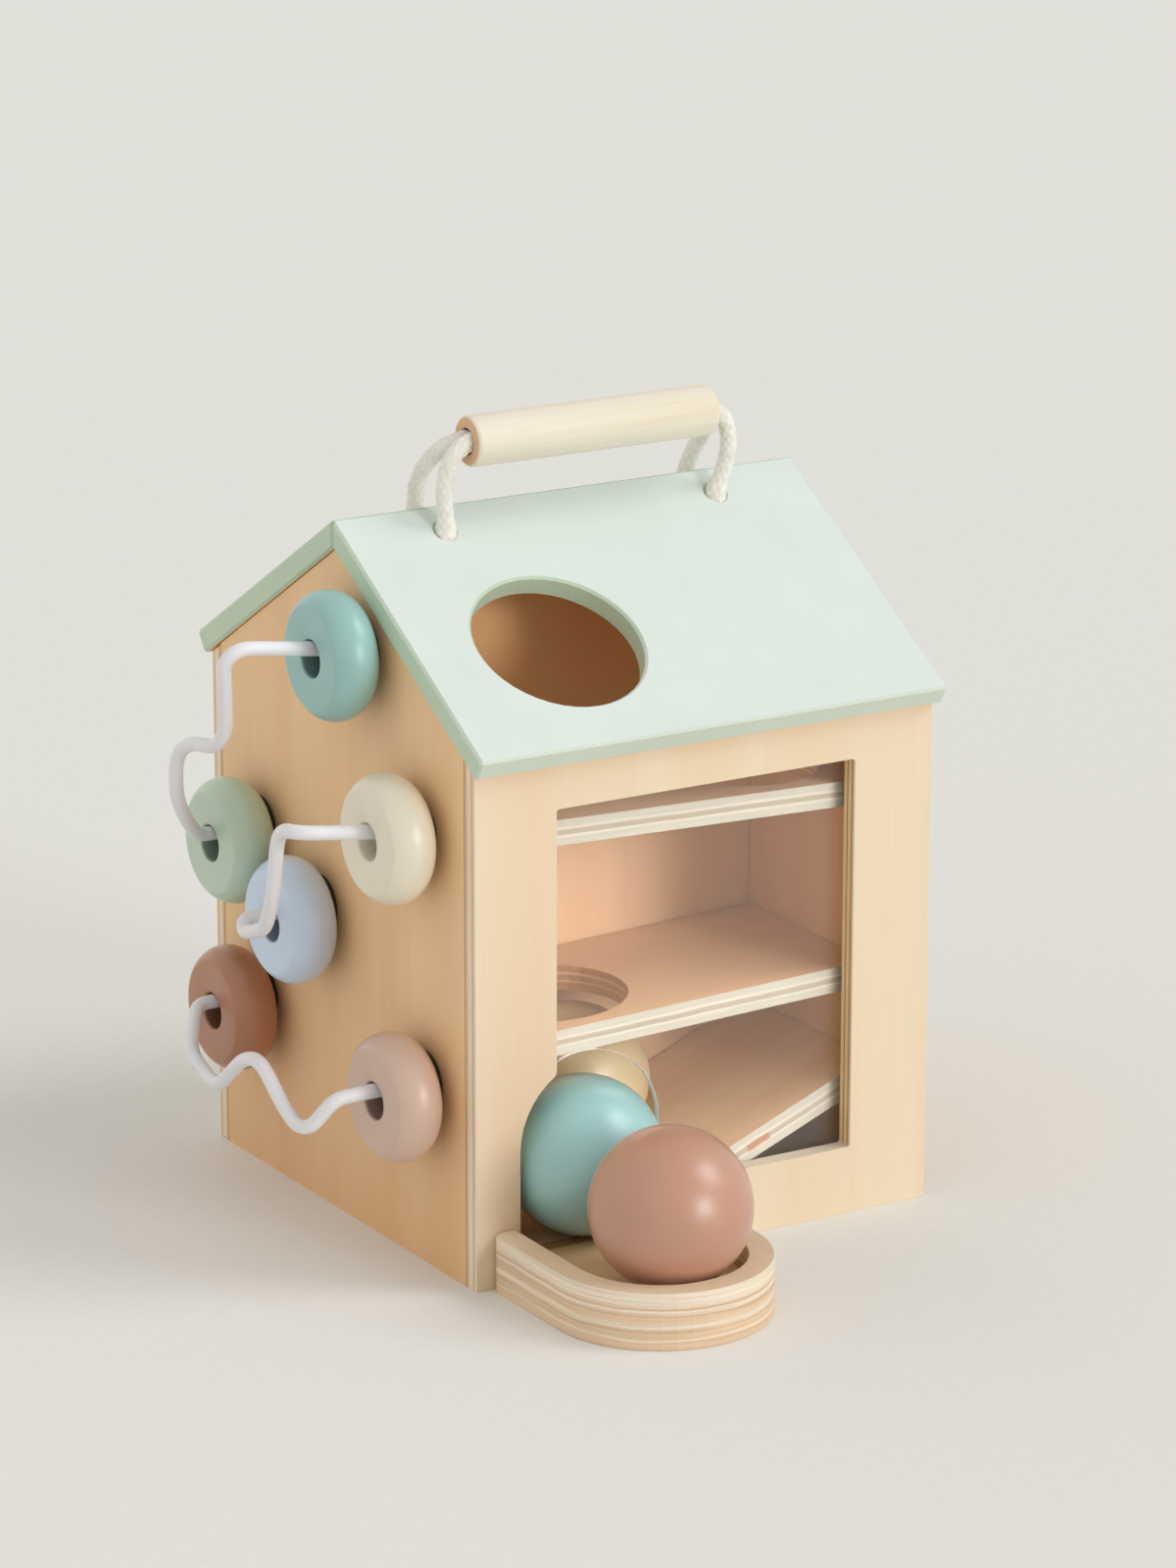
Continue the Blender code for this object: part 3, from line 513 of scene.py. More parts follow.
def wood(
    name, tones, grain, across, face, thickness,
    layers=shell_ply, inner_layers=None, inner_place=window_place, lean=0.0,
    wander=shell_wander, streak=shell_streak, painted_shade=None, patch=None,
):
    """Birch plywood: veneer on the faces square to one axis, and layers on its edges.

    grain and across are axes: the grain's, and the one through the sheet, whose face lies at
    the given coordinate after the sheet's lean about Y is taken out. inner_layers show where
    the sheet is cut open inside its outline, which inner_place gives by an axis and the
    distances along it between which they end. streak gives the edge's streaks across and along
    the layers, in cycles per metre, and their depth. The painted shade, where given, is the
    heights between which the veneer takes another colour as painted shade, that colour and its
    share. patch gives the ends along X of a mended place in the middle layers.
    """
    finish = Finish(name)
    if lean:
        finish.turn(lean)
    fine = [1.0, 1.0, 1.0]
    fine[grain] = along_grain
    bands = finish.pattern("wood bands", fine)
    flames = finish.pattern("wood flames", fine)
    fibres = finish.pattern("wood fibres", fine)
    pale, peach, deep = (linear(tone) for tone in tones)
    veneer = finish.mix(finish.ranged(bands, "wood bands"), pale, peach)
    veneer = finish.mix(finish.ranged(flames, "wood flames"), veneer, deep)
    veneer = finish.toned(veneer, "wood fibres", fibres)
    flecks = finish.ranged(finish.pattern("wood flecks", fine), "wood flecks")
    veneer = finish.mix(flecks, veneer, deep)
    # Painted shade: between two heights the veneer turns towards another colour
    if painted_shade:
        start, end, colour, share = painted_shade
        taken = finish.spread(finish.along(2), min(start, end), max(start, end))
        if end < start:
            taken = finish.maths("SUBTRACT", 1.0, taken)
        veneer = finish.mix(finish.maths("MULTIPLY", taken, share), veneer, linear(colour))

    level = finish.maths("SUBTRACT", finish.along(across), face)
    level = finish.maths("DIVIDE", level, thickness)
    flat = [waver_along] * 3
    flat[across] = waver_across
    waver = finish.maths("SUBTRACT", finish.noise(flat, 3.0, 0.6), 0.5)
    level = finish.maths("ADD", level, finish.maths("MULTIPLY", waver, wander))
    streak_across, streak_along, streak_depth = streak
    flat = [streak_along] * 3
    flat[across] = streak_across
    streaks = finish.noise(flat, 3.0, 0.65)
    edge = finish.ramp(level, layers)
    if inner_layers:
        axis, start, end = inner_place
        inside = finish.spread(finish.maths("ABSOLUTE", finish.along(axis)), start, end, 1.0, 0.0)
        edge = finish.mix(inside, edge, finish.ramp(level, inner_layers))
        # Painted shade at the threshold: the door's sill, facing up below sill height, is darker
        # brown
        sill = finish.ranged(finish.along(2, finish.facing), "sill facing")
        height = finish.ranged(finish.along(2), "sill height")
        sill_painted_shade = finish.mix(height, linear("sill"), linear("core"))
        edge = finish.mix(finish.maths("MULTIPLY", sill, inside), edge, sill_painted_shade)
    if patch:
        start, end = patch
        taken = finish.spread(finish.along(0), start, start + patch_border)
        for value, low, high in (
            (finish.along(0), end, end - patch_border), (level, *patch_start), (level, *patch_end),
        ):
            held = finish.spread(value, min(low, high), max(low, high))
            if high < low:
                held = finish.maths("SUBTRACT", 1.0, held)
            taken = finish.maths("MULTIPLY", taken, held)
        blotch = finish.ranged(finish.pattern("wood patch"), "wood patch")
        edge = finish.mix(finish.maths("MULTIPLY", taken, blotch), edge, linear("ply_patch"))
    edge = finish.tone(edge, streaks, streak_depth)

    up = finish.maths("ABSOLUTE", finish.along(across, finish.facing))
    colour = finish.mix(finish.ranged(up, "wood face"), edge, veneer)
    normal = finish.bumped(fibres, "wood fibres")
    normal = finish.bumped(streaks, "wood streaks", normal)
    roughness = finish.ranged(flames, "wood roughness")
    return finish.shade(colour, roughness, normal, Specular_IOR_Level=wood_shine)


def paint(name, colour, roughness=paint_roughness, coat=paint_coat, bore=0.0):
    """Satin paint over turned wood, with mottling and orange peel, and painted shade darkening a
    bore.
    """
    finish = Finish(name)
    colour = finish.toned(linear(colour), "paint mottle")
    # Painted shade: darker inside the bore, up to its rim
    if bore:
        level = finish.spread(finish.off_axis(), bore, bore * bore_painted_shade_edge_share, bore_painted_shade, 1.0)
        colour = finish.node("VectorMath", {0: colour, 3: level}, operation="SCALE").outputs[0]
    normal = finish.bumped(finish.pattern("paint peel"), "paint peel")
    normal = finish.bumped(finish.pattern("paint fibres"), "paint fibres", normal)
    blotches = finish.pattern("paint blotches")
    level = finish.spread(blotches, 0.3, 0.7, roughness - 0.03, roughness + 0.04)
    return finish.shade(
        colour, level, normal,
        Specular_IOR_Level=wood_shine, Coat_Weight=coat, Coat_Roughness=coat_roughness,
    )


def roof_paint(name):
    """Mint paint, less glossy and saw-marked on the sawn edges, over a bare wooden underside, with
    painted light: lighter top faces and eave edges, darker other edges.
    """
    finish = Finish(name)
    up = finish.along(2, finish.facing)
    top = finish.ranged(up, "roof top")
    across = finish.maths("ABSOLUTE", finish.along(0, finish.facing))
    eave = finish.maths(
        "MULTIPLY", finish.ranged(across, "roof eave facing"),
        finish.ranged(finish.maths("ABSOLUTE", finish.along(1)), "roof eave place"),
    )
    # Painted light: one mint paint as a shaded copy on the edges, a lit copy on the eave edges and
    # a lighter, cooler lit copy on the top faces
    edge = finish.mix(eave, linear("mint_painted_shade_side"), linear("mint_painted_lit_eave"))
    colour = finish.toned(finish.mix(top, edge, linear("mint_painted_lit_top")), "roof mottle")
    under = finish.ranged(up, "roof underside")
    colour = finish.mix(under, colour, finish.toned(linear("bare"), "roof underside"))
    normal = finish.bumped(finish.pattern("roof peel"), "roof peel")
    saw = finish.pattern("roof saw marks")
    sawn = finish.maths("MULTIPLY", saw, finish.maths("SUBTRACT", 1.0, top))
    normal = finish.bumped(sawn, "roof saw marks", normal)
    level = finish.ranged(top, "roof roughness")
    return finish.shade(colour, level, normal, Specular_IOR_Level=0.4)


def acrylic(name):
    """Clear window sheet that lets the lamps through."""
    finish = Finish(name)
    inputs = {
        "Base Color": (1.0, 0.945, 0.90, 1.0), "Roughness": 0.0, "IOR": 1.38,
        "Transmission Weight": 0.97,
    }
    sheet = finish.node("BsdfPrincipled", inputs).outputs[0]
    clear = finish.node("BsdfTransparent", {"Color": (0.97, 0.96, 0.95, 1.0)}).outputs[0]
    lamp = finish.node("LightPath").outputs["Is Shadow Ray"]
    mixed = finish.node("MixShader", {0: lamp, 1: sheet, 2: clear}).outputs[0]
    finish.node("OutputMaterial", {0: mixed})
    return finish.material


def plain(name, colour, roughness, grit, depth):
    """An even plastic or coated surface with fine grit."""
    finish = Finish(name)
    colour = finish.toned(linear(colour), "coating mottle")
    normal = finish.bump(finish.noise((grit, grit, grit), 2.0), depth, grit_strength)
    haze = finish.pattern("coating haze")
    level = finish.spread(haze, 0.3, 0.7, roughness - 0.04, roughness + 0.04)
    return finish.shade(colour, level, normal)


def cotton(name, colour, deep):
    """Off-white cotton yarn."""
    finish = Finish(name)
    yarn = finish.pattern("yarn")
    soft = finish.pattern("yarn shade")
    colour = finish.mix(finish.ranged(soft, "yarn shade"), linear(colour), linear(deep))
    colour = finish.toned(colour, "yarn", yarn)
    normal = finish.bumped(yarn, "yarn")
    return finish.shade(
        colour, 0.95, normal, Sheen_Weight=0.35, Sheen_Roughness=0.5, Specular_IOR_Level=0.15,
    )


def turned_wood(name):
    """The pale handle, with its grain along X, brown end grain and a bore darkened as painted
    shade.
    """
    finish = Finish(name)
    bands = finish.pattern("grip bands")
    fibres = finish.pattern("grip fibres")
    share = finish.ranged(bands, "grip bands")
    side = finish.mix(share, linear("grip"), linear("grip_deep"))
    side = finish.toned(side, "grip fibres", fibres)
    end = finish.toned(linear("grip_end"), "grip pores")
    out = finish.maths("ABSOLUTE", finish.along(0, finish.facing))
    colour = finish.mix(finish.ranged(out, "grip end"), side, end)
    # Painted shade: the bore takes a dark brown
    outside = finish.spread(finish.off_axis(), grip_bore, grip_bore * grip_bore_painted_shade_edge_share)
    colour = finish.mix(outside, linear("grip_bore"), colour)
    normal = finish.bumped(fibres, "grip fibres")
    level = finish.ranged(bands, "grip roughness")
    return finish.shade(colour, level, normal, Specular_IOR_Level=wood_shine)


def keep(name, vertices, faces, made, body, slot, *stands_for, smooth=True, place=(0, 0, 0)):
    """A mesh piece with its material, body and the CAD nodes that it stands for; its slot argument
    is not used.
    """
    mesh = bpy.data.meshes.new(name)
    mesh.from_pydata(vertices, [], faces)
    mesh.validate()
    mesh.update()
    if smooth:
        mesh.shade_smooth()
        mesh.set_sharp_from_angle(angle=smooth_angle)
    piece = bpy.data.objects.new(name, mesh)
    bpy.context.scene.collection.objects.link(piece)
    piece.location = place
    mesh.materials.append(made)
    if body:
        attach(piece, body)
    if stands_for:
        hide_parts(*stands_for)
    return piece


def arc(centre_u, centre_v, radius, start, end, steps):
    """Points on an arc, both ends included."""
    points = []
    for step in range(steps + 1):
        angle = start + (end - start) * step / steps
        points.append((centre_u + radius * math.cos(angle), centre_v + radius * math.sin(angle)))
    return points


def revolve(profile, sides, closed=True):
    """Vertices and faces of a profile of (radius, x) points turned round the X axis."""
    vertices, faces = [], []
    for side in range(sides):
        angle = 2 * math.pi * side / sides
        for radius, x in profile:
            vertices.append((x, radius * math.cos(angle), radius * math.sin(angle)))
    count = len(profile)
    for side in range(sides):
        this, following = side * count, (side + 1) % sides * count
        for index in range(count if closed else count - 1):
            after = (index + 1) % count
            faces.append((this + index, following + index, following + after, this + after))
    return vertices, faces


def bore_profile(bore, thickness, corner, steps):
    """Profile of a bore with eased edges, from its lower end up."""
    half = thickness / 2
    quarter = math.pi / 2
    points = arc(bore + corner, corner - half, corner, -quarter, -2 * quarter, steps)
    return points + arc(bore + corner, half - corner, corner, 2 * quarter, quarter, steps)


def ring_profile(radius, bore, thickness, corner, bore_corner, steps):
    """Profile of a ring: out along one face, round its rim, back, and up its bore."""
    half = thickness / 2
    quarter = math.pi / 2
    points = arc(radius - corner, half - corner, corner, quarter, 0, steps)
    points += arc(radius - corner, corner - half, corner, 0, -quarter, steps)
    return points + bore_profile(bore, thickness, bore_corner, steps // 2)


def bead_profile(radius, thickness):
    """Profile of a bead: a rim of one full arc, soft creases, two flat faces and the bore."""
    half = thickness / 2
    drop = radius * (1 - bead_face_share)
    rim_radius = (half * half + drop * drop) / (2 * drop)
    middle = radius - rim_radius
    crease = half - bead_crease
    across = math.sqrt((rim_radius - bead_crease) ** 2 - crease * crease)
    turn = math.atan2(crease, across)
    points = arc(middle + across, crease, bead_crease, math.pi / 2, turn, crease_steps)
    points += arc(middle, 0, rim_radius, turn, -turn, rim_steps)[1:]
    points += arc(middle + across, -crease, bead_crease, -turn, -math.pi / 2, crease_steps)[1:]
    return points + bore_profile(bead_bore, thickness, bead_bore_ease, bore_steps)


def tube(points, radii, sides, relief=None):
    """Vertices and faces of a capped tube, whose surface a relief(turn, length) may lift."""
    vertices, faces = [], []
    tangent = (points[1] - points[0]).normalized()
    side = tangent.orthogonal().normalized()
    travelled = 0.0
    for index, point in enumerate(points):
        before = points[max(index - 1, 0)]
        after = points[min(index + 1, len(points) - 1)]
        heading = (after - before).normalized()
        side = tangent.rotation_difference(heading) @ side
        tangent = heading
        up = tangent.cross(side)
        travelled += (point - before).length
        for turn in range(sides):
            angle = 2 * math.pi * turn / sides
            lift = relief(turn / sides, travelled) if relief else 0.0
            radius = radii[index] * (1 + lift)
            vertices.append(point + (side * math.cos(angle) + up * math.sin(angle)) * radius)
    for index in range(len(points) - 1):
        for turn in range(sides):
            after = (turn + 1) % sides
            this, following = index * sides, (index + 1) * sides
            faces.append((this + turn, this + after, following + after, following + turn))
    faces.append(tuple(reversed(range(sides))))
    faces.append(tuple(range((len(points) - 1) * sides, len(points) * sides)))
    return vertices, faces


def smooth_route(route, step):
    """Even points along a smooth curve through a route's points."""
    points = [Vector(place) for place in route]
    ends = [points[0] * 2 - points[1], *points, points[-1] * 2 - points[-2]]
    dense = []
    for before, start, end, after in zip(ends, ends[1:], ends[2:], ends[3:]):
        pieces = max(1, round((end - start).length / step))
        for piece in range(pieces):
            t = piece / pieces
            middle = (end - before) * t
            bow = (before * 2 - start * 5 + end * 4 - after) * t * t
            twist = (start * 3 - before - end * 3 + after) * t * t * t
            dense.append(start + (middle + bow + twist) / 2)
    dense.append(points[-1])
    return dense


def eased(points, passes):
    """A route whose bends run into each other softly: its points averaged with their neighbours."""
    for _ in range(passes):
        middles = [
            before / 4 + point / 2 + after / 4
            for before, point, after in zip(points, points[1:], points[2:])
        ]
        points = [points[0], *middles, points[-1]]
    return points


def bend_corner(before, corner, after, radius, step_angle):
    """Points that round one corner of a route with an arc."""
    back = before - corner
    on = after - corner
    turn = math.pi - back.angle(on)
    tangent = min(radius * math.tan(turn / 2), min(back.length, on.length) / 2)
    reach = tangent / math.tan(turn / 2)
    back.normalize()
    on.normalize()
    centre = corner + (back + on).normalized() * math.hypot(tangent, reach)
    start = (corner + back * tangent - centre).normalized()
    end = (corner + on * tangent - centre).normalized()
    steps = max(2, math.ceil(turn / step_angle))
    return [centre + start.slerp(end, step / steps) * reach for step in range(steps + 1)]


def centre_of(node):
    """Middle of a CAD node's box."""
    low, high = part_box(node)
    return (low + high) / 2


def round_size(node):
    """Radius and length of a CAD node that is round about the X axis."""
    low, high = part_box(node)
    return (high.z - low.z) / 2, high.x - low.x


def make_camera():
    """Camera at the photograph's place and angle."""
    data = bpy.data.cameras.new("camera")
    data.sensor_width = 36.0
    data.lens = camera_lens
    data.shift_x, data.shift_y = camera_shift
    data.clip_end = 50.0
    camera = bpy.data.objects.new("camera", data)
    bpy.context.scene.collection.objects.link(camera)
    camera.location = camera_place
    camera.rotation_euler = (math.pi / 2 - camera_elevation, 0, camera_azimuth)
    bpy.context.scene.camera = camera


def rise(value, start, length):
    """A smooth step from 0 to 1 along a length from a start."""
    share = min(max((value - start) / length, 0), 1)
    return share * share * (3 - 2 * share)


def rope_radii(points):
    """The rope's radius at each point: squeezed thinner in the grip, fuller in the roof."""
    grip_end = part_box("handle_grip")[1].x
    foot = points[0].z + rope_foot_top
    radii = []
    for point in points:
        outside = rise(abs(point.x), grip_end, strand_taper)
        radius = strand_radius + (rope_radius - strand_radius) * outside
        radii.append(radius + rope_foot * rise(-point.z, -foot, rope_foot_fade))
    return radii


def fill_bore(vertices):
    """Press the rope tall where it shares the grip's bore with the other one."""
    low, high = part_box("handle_grip")
    middle = (low.z + high.z) / 2
    for vertex in vertices:
        if abs(vertex.z - middle) < high.z - middle:
            inside = 1 - rise(abs(vertex.x), high.x, strand_taper)
            vertex.z += (vertex.z - middle) * rope_squeeze * inside


def braid(turn, length):
    """Relief of a round braid: strands that cross over and under each other."""
    left = (turn * braid_strands + length / braid_pitch) % 2
    right = (turn * braid_strands - length / braid_pitch) % 2
    over = (int(left) + int(right)) % 2 == 0
    across, along = (left % 1, right % 1) if over else (right % 1, left % 1)
    crown = math.sqrt(max(0.0, 1 - (2 * across - 1) ** 2))
    hump = math.sin(math.pi * along)
    return -braid_relief + braid_relief * crown * (0.50 + 0.50 * hump)


def fluff(name, points, radii, seed, made):
    """Loose fibres that stand off a rope outside the grip."""
    chance = random.Random(seed)
    vertices, faces = [], []
    grip_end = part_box("handle_grip")[1].x
    free = [
        index for index, point in enumerate(points)
        if abs(point.x) > grip_end or point.z < fibre_height
    ]
    for _ in range(fibre_count):
        index = chance.choice(free[2:-2])
        heading = (points[index + 1] - points[index - 1]).normalized()
        spin = Quaternion(heading, chance.uniform(0, 2 * math.pi))
        out = spin @ heading.orthogonal().normalized()
        lean = heading * chance.uniform(-fibre_lean, fibre_lean)
        reach = chance.uniform(*fibre_reach)
        root = points[index] + out * radii[index] * fibre_root_share
        way = (out + lean).normalized()
        curl = out.cross(heading) * chance.uniform(-fibre_curl, fibre_curl)
        wide = heading.cross(way).normalized() * fibre_half_width
        first = len(vertices)
        for step in range(fibre_steps + 1):
            share = step / fibre_steps
            bow = (curl - out * fibre_droop) * reach * share * share
            place = root + way * reach * share + bow
            taper = wide * (1 - fibre_taper * share)
            ridge = place + way.cross(wide).normalized() * taper.length
            vertices += [place - taper, place + taper, ridge]
        for step in range(fibre_steps):
            low = first + step * fibre_sides
            high = low + fibre_sides
            for corner in range(fibre_sides):
                after = (corner + 1) % fibre_sides
                faces.append((low + corner, low + after, high + after, high + corner))
    return keep(name, vertices, faces, made, None, "cotton", smooth=False)


def make_ropes(made):
    """Both ropes, their loose fibres and the knots under the roof."""
    for node in ("knot_front_left", "knot_front_right", "knot_back_left", "knot_back_right"):
        radius, _ = round_size(node)
        path = []
        for step in range(knot_steps):
            angle = 2 * math.pi * step / knot_steps
            path.append(Vector((
                math.sin(angle) + 2 * math.sin(2 * angle),
                math.cos(angle) - 2 * math.cos(2 * angle),
                -math.sin(3 * angle) * knot_depth_share,
            )) * radius * knot_loop_share)
        path.append(path[0])
        vertices, faces = tube(path, [radius * knot_cord_share] * len(path), knot_sides)
        keep(
            node.replace("knot", "tied"), vertices, faces, made,
            "house", "cotton", node, place=centre_of(node),
        )

    for seed, (node, route) in enumerate(rope_routes.items()):
        points = smooth_route(route, rope_step)
        radii = rope_radii(points)
        vertices, faces = tube(points, radii, rope_sides, braid)
        fill_bore(vertices)
        rope = keep(node.replace("rope", "cord"), vertices, faces, made, None, "cotton", node)
        fibres = fluff(rope.name + "_fibres", points, radii, seed, made)
        for piece in (rope, fibres):
            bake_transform(piece)


def wire_point(bead, out, gable_x, bead_face):
    """Point of a wire's straight end in a bead, the given distance out from the gable."""
    centre = centre_of(bead)
    hang = bead_bore - wire_radius - seam
    slope = math.tan(wire_rise) if bead in rising_ends else 0
    return Vector((gable_x - out, centre.y, centre.z + hang + (out - bead_face) * slope))


def make_wires(made):
    """The three bent wires."""
    gable_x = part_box("left_gable")[0].x
    bead_face = gable_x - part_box("bead_teal")[0].x
    reach = bead_face + wire_clear
    for node, (first, first_share, bends, last, last_share) in wire_shares.items():
        start = centre_of(first)
        way = centre_of(last) - start
        across = Vector((0, -way.z, way.y))
        corners = []
        for bead, share in ((first, first_share), (last, last_share)):
            corners.append([
                wire_point(bead, out, gable_x, bead_face)
                for out in (-wire_seat, bead_face + share * wire_clear)
            ])
        path = corners[0]
        for along_share, across_share, out_share in bends:
            corner = start + way * along_share + across * across_share
            corner.x = gable_x - out_share * reach
            path.append(corner)
        path += reversed(corners[1])
        radii = [wire_bend] + [wire_sweep] * len(bends) + [wire_bend]
        points = [path[0]]
        for before, corner, after, radius in zip(path, path[1:], path[2:], radii):
            points += bend_corner(before, corner, after, radius, wire_bend_step)
        points.append(path[-1])
        points = eased(smooth_route(points, wire_step), wire_passes)
        vertices, faces = tube(points, [wire_radius] * len(points), wire_sides)
        keep(node.replace("wire", "rod"), vertices, faces, made, "house", "coated_wire", node)


def make_beads(black):
    """The six painted ring beads and the washers behind them."""
    for hue in ("teal", "green", "cream", "blue", "brown", "pink"):
        node = "bead_" + hue
        vertices, faces = revolve(bead_profile(*round_size(node)), bead_sides)
        # Painted shade darkens every bead's bore except the cream one's
        made = paint(hue + " bead paint", hue, bore=0.0 if hue == "cream" else bead_bore)
        keep(
            "ring_" + hue, vertices, faces, made,
            hue + "_bead", hue + "_paint", node, place=centre_of(node),
        )

        node = "washer_" + hue
        radius, thickness = round_size(node)
        bore = wire_radius + washer_slack
        profile = ring_profile(
            radius, bore, thickness, washer_ease, washer_bore_ease, washer_steps,
        )
        vertices, faces = revolve(profile, washer_sides)
        keep(
            "stop_" + hue, vertices, faces, black,
            "house", "black_plastic", node, place=centre_of(node),
        )


def make_balls():
    """The three balls."""
    for hue in ("terracotta", "teal", "cream"):
        node = "ball_" + hue
        radius, _ = round_size(node)
        profile = arc(0, 0, radius, math.pi / 2, -math.pi / 2, ball_steps)
        profile = [(max(u, 0), v) for u, v in profile]
        vertices, faces = revolve(profile, ball_sides, closed=False)
        coat = cream_ball_coat if hue == "cream" else ball_coat
        made = paint(hue + " ball paint", hue + "_ball", ball_roughness, coat)
        keep(
            "sphere_" + hue, vertices, faces, made,
            hue + "_ball", hue + "_paint", node, place=centre_of(node),
        )


def make_grip():
    """The bored wooden grip."""
    node = "handle_grip"
    radius, length = round_size(node)
    profile = ring_profile(radius, grip_bore, length, grip_ease, grip_bore_ease, grip_steps)
    vertices, faces = revolve(profile, grip_sides)
    made = turned_wood("handle wood")
    keep("handle_bar", vertices, faces, made, "grip", "birch", node, place=centre_of(node))


def dress(node, made):
    """Give a CAD node its finish."""
    mesh = nodes[node].data
    mesh.materials.clear()
    mesh.materials.append(made)


def make_pane_edge():
    """The pane's cut edge round the ball door, which is frosted."""
    low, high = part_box("window_pane")
    line = [(door_x + door_radius, low.z)]
    line += arc(door_x, door_spring, door_radius, 0, math.pi, arch_steps)
    line += [(door_x - door_radius, low.z)]
    vertices, faces = [], []
    for x, z in line:
        out = Vector((x - door_x, 0, max(z - door_spring, 0))).normalized()
        for inset, y in (
            (frost_start, low.y), (frost_start, high.y), (frost_end, high.y), (frost_end, low.y),
        ):
            vertices.append(tuple(Vector((x, y, z)) - out * inset))
    for index in range(len(line) - 1):
        for corner in range(4):
            after = (corner + 1) % 4
            this = index * 4
            faces.append((this + corner, this + after, this + 4 + after, this + 4 + corner))
    last = len(vertices) - 4
    faces += [(3, 2, 1, 0), (last, last + 1, last + 2, last + 3)]
    made = plain("frosted edge", "frost", 0.7, 1200.0, 0.00003)
    keep("frosted_edge", vertices, faces, made, "house", "acrylic")


def make_panels():
    """Finishes of the flat pieces, whose CAD shapes stay."""
    veneer = ("veneer", "veneer_peach", "veneer_deep")
    gable = ("gable", "gable_peach", "gable_deep")
    inner = ("inner", "inner_peach", "inner_deep")
    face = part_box("front_panel")[0].y + face_thickness
    # The front panel's window edge takes the golden reveal layers: painted warm shade
    dress("front_panel", wood(
        "front birch", veneer, 2, 1, face, -face_thickness, inner_layers=reveal_painted_shade_ply,
    ))
    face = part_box("back_panel")[0].y
    dress("back_panel", wood("back birch", veneer, 2, 1, face, face_thickness))
    # Gables: warmer birch with painted warm shade, and painted shade darker towards the floor
    for node in ("left_gable", "right_gable"):
        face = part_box(node)[0].x
        dress(node, wood(node + " birch", gable, 2, 0, face, gable_thickness, painted_shade=gable_painted_shade))
    for node in ("left_cheek", "right_cheek"):
        low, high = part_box(node)
        dress(node, wood(node + " birch", inner, 2, 0, low.x, high.x - low.x))
    # The partition's upper part takes painted shade: the deep orange of light bounced between bare
    # wood under the roof
    low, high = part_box("mid_partition")
    dress("mid_partition", wood(
        "partition birch", inner, 2, 1, low.y, high.y - low.y, painted_shade=partition_painted_shade,
    ))
    dress("floor_panel", wood("floor birch", inner, 0, 2, 0.0, floor_thickness))
    dress("tray_floor", wood("tray floor birch", gable, 1, 2, 0.0, floor_thickness))
    low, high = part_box("tray_rim")
    dress("tray_rim", wood(
        "tray ply", ("tray_face", "tray_face", "tray_deep"), 1, 2, low.z, high.z - low.z,
        tray_ply, wander=tray_wander, streak=tray_streak,
    ))
    for node, tilt, thickness, tones in (
        ("top_ramp", -ramp_tilt, ramp_thickness, inner),
        ("middle_ramp", ramp_tilt, ramp_thickness, inner),
        # The exit ramp takes lighter tones than the other ramps: painted light
        ("exit_ramp", exit_ramp_pitch, exit_ramp_thickness, ("exit", "exit_peach", "exit_deep")),
    ):
        low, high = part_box(node)
        x = high.x if tilt > 0 else low.x
        top = high.z * math.cos(tilt) - x * math.sin(tilt)
        patch = None
        if node == "exit_ramp":
            patch = [
                along * math.cos(tilt) + (top + along * math.sin(tilt)) * math.tan(tilt)
                for along in exit_ramp_patch
            ]
        dress(node, wood(
            node + " ply", tones, 0, 2, top - thickness, thickness,
            ramp_ply, ramp_hole_ply, (1, -low.y - ramp_hole_whole, -low.y - ramp_hole_start),
            lean=tilt, wander=ramp_wander, streak=ramp_streak, patch=patch,
        ))
    mint = roof_paint("mint paint")
    dress("roof_front", mint)
    dress("roof_back", mint)
    dress("window_pane", acrylic("clear acrylic"))
    make_pane_edge()


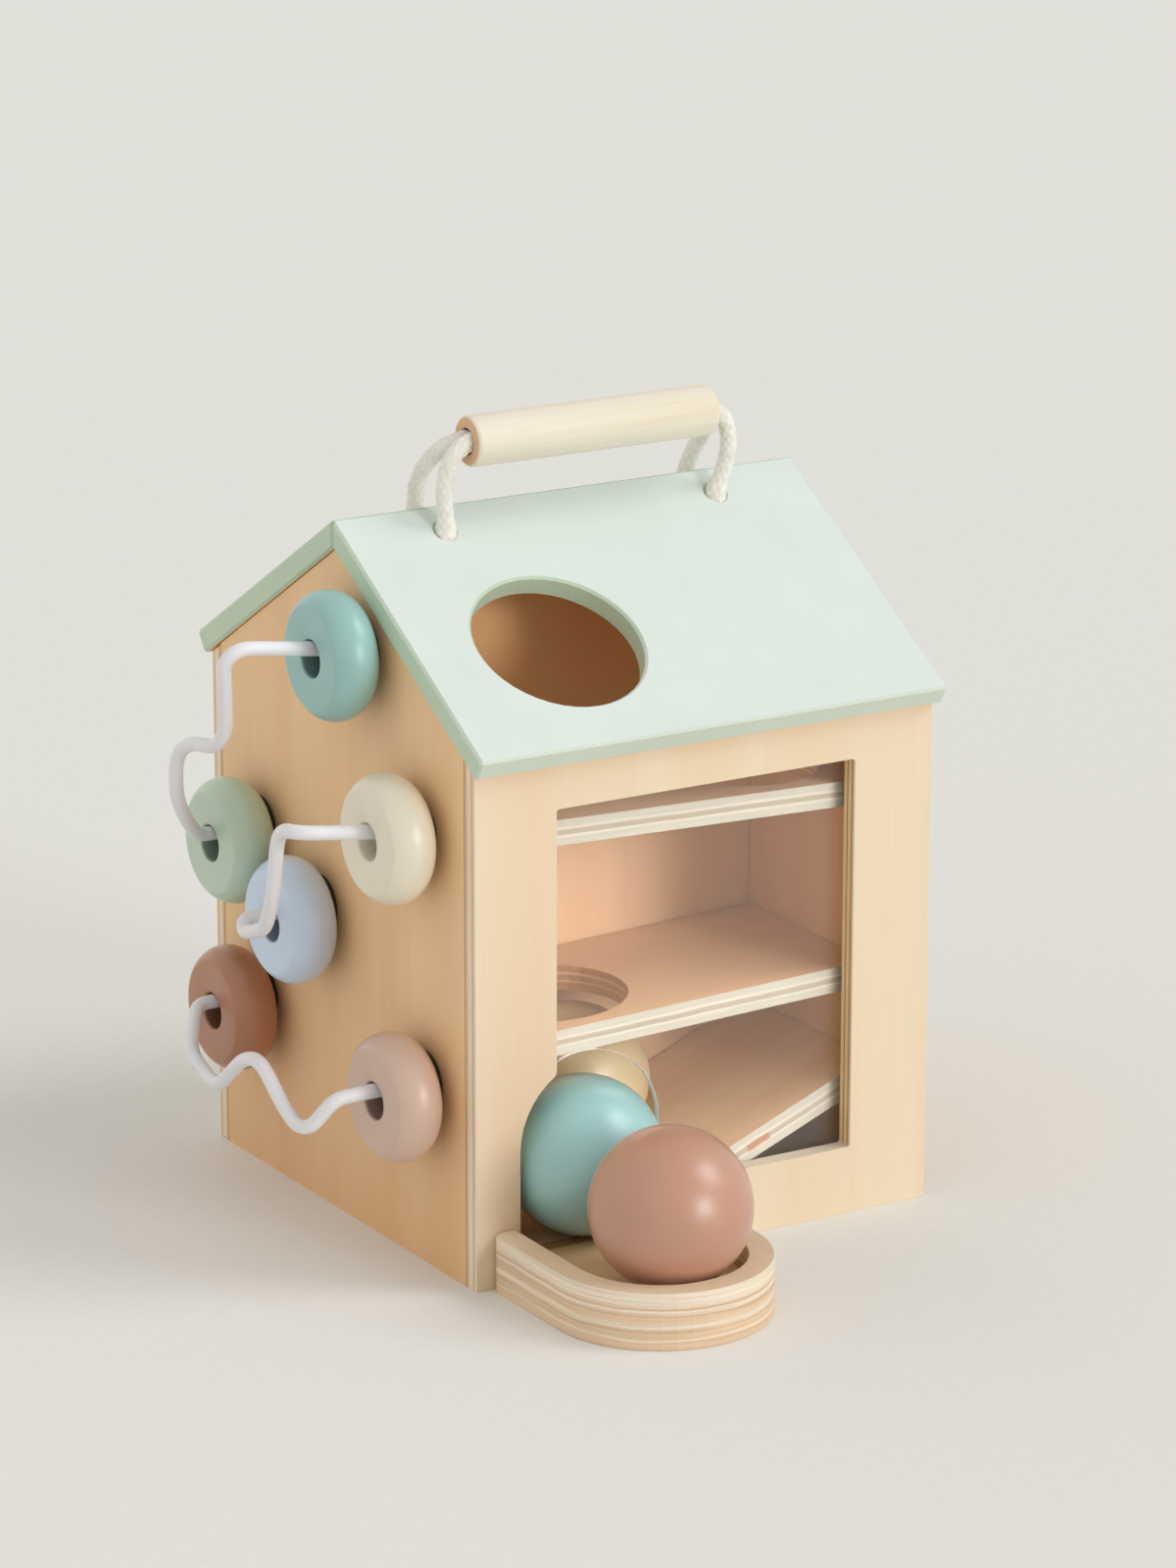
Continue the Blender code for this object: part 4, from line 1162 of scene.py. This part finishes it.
def make_stage():
    """Pale floor, soft light and a pale surround."""
    mesh = bpy.data.meshes.new("floor")
    corners = [(x * floor_half, y * floor_half, 0) for x, y in ((-1, -1), (1, -1), (1, 1), (-1, 1))]
    mesh.from_pydata(corners, [], [(0, 1, 2, 3)])
    floor = bpy.data.objects.new("floor", mesh)
    bpy.context.scene.collection.objects.link(floor)
    finish = Finish("pale floor")
    mesh.materials.append(finish.shade(finish.toned(linear("floor"), "floor speckle"), 0.9))

    world = bpy.data.worlds.new("surround")
    bpy.context.scene.world = world
    world.use_nodes = True
    tree = world.node_tree
    tree.nodes.clear()
    path = tree.nodes.new("ShaderNodeLightPath")
    soft = tree.nodes.new("ShaderNodeBackground")
    soft.inputs["Color"].default_value = surround_colour
    soft.inputs["Strength"].default_value = surround_strength
    seen = tree.nodes.new("ShaderNodeBackground")
    seen.inputs["Color"].default_value = linear("floor")
    mixed = tree.nodes.new("ShaderNodeMixShader")
    out = tree.nodes.new("ShaderNodeOutputWorld")
    either = tree.nodes.new("ShaderNodeMath")
    either.operation = "MAXIMUM"
    tree.links.new(path.outputs["Is Camera Ray"], either.inputs[0])
    tree.links.new(path.outputs["Is Glossy Ray"], either.inputs[1])
    tree.links.new(either.outputs[0], mixed.inputs[0])
    tree.links.new(soft.outputs[0], mixed.inputs[1])
    tree.links.new(seen.outputs[0], mixed.inputs[2])
    tree.links.new(mixed.outputs[0], out.inputs[0])

    for name, towards, strength, spread, gloss, colour in lamps:
        data = bpy.data.lights.new(name, "SUN")
        data.color = colour
        data.energy = strength
        data.angle = math.radians(spread)
        lamp = bpy.data.objects.new(name, data)
        bpy.context.scene.collection.objects.link(lamp)
        lamp.rotation_euler = Vector(towards).to_track_quat("Z", "Y").to_euler()
        lamp.visible_glossy = gloss


make_camera()
make_ropes(cotton("cotton rope", "rope", "rope_deep"))
make_wires(plain("white coated wire", "wire", 0.45, 1400.0, 0.00003))
make_beads(plain("black washer", "black", 0.5, 1800.0, 0.00004))
make_balls()
make_grip()
make_panels()
make_stage()
bpy.context.scene.view_settings.view_transform = "Standard"

bpy.context.view_layer.update()
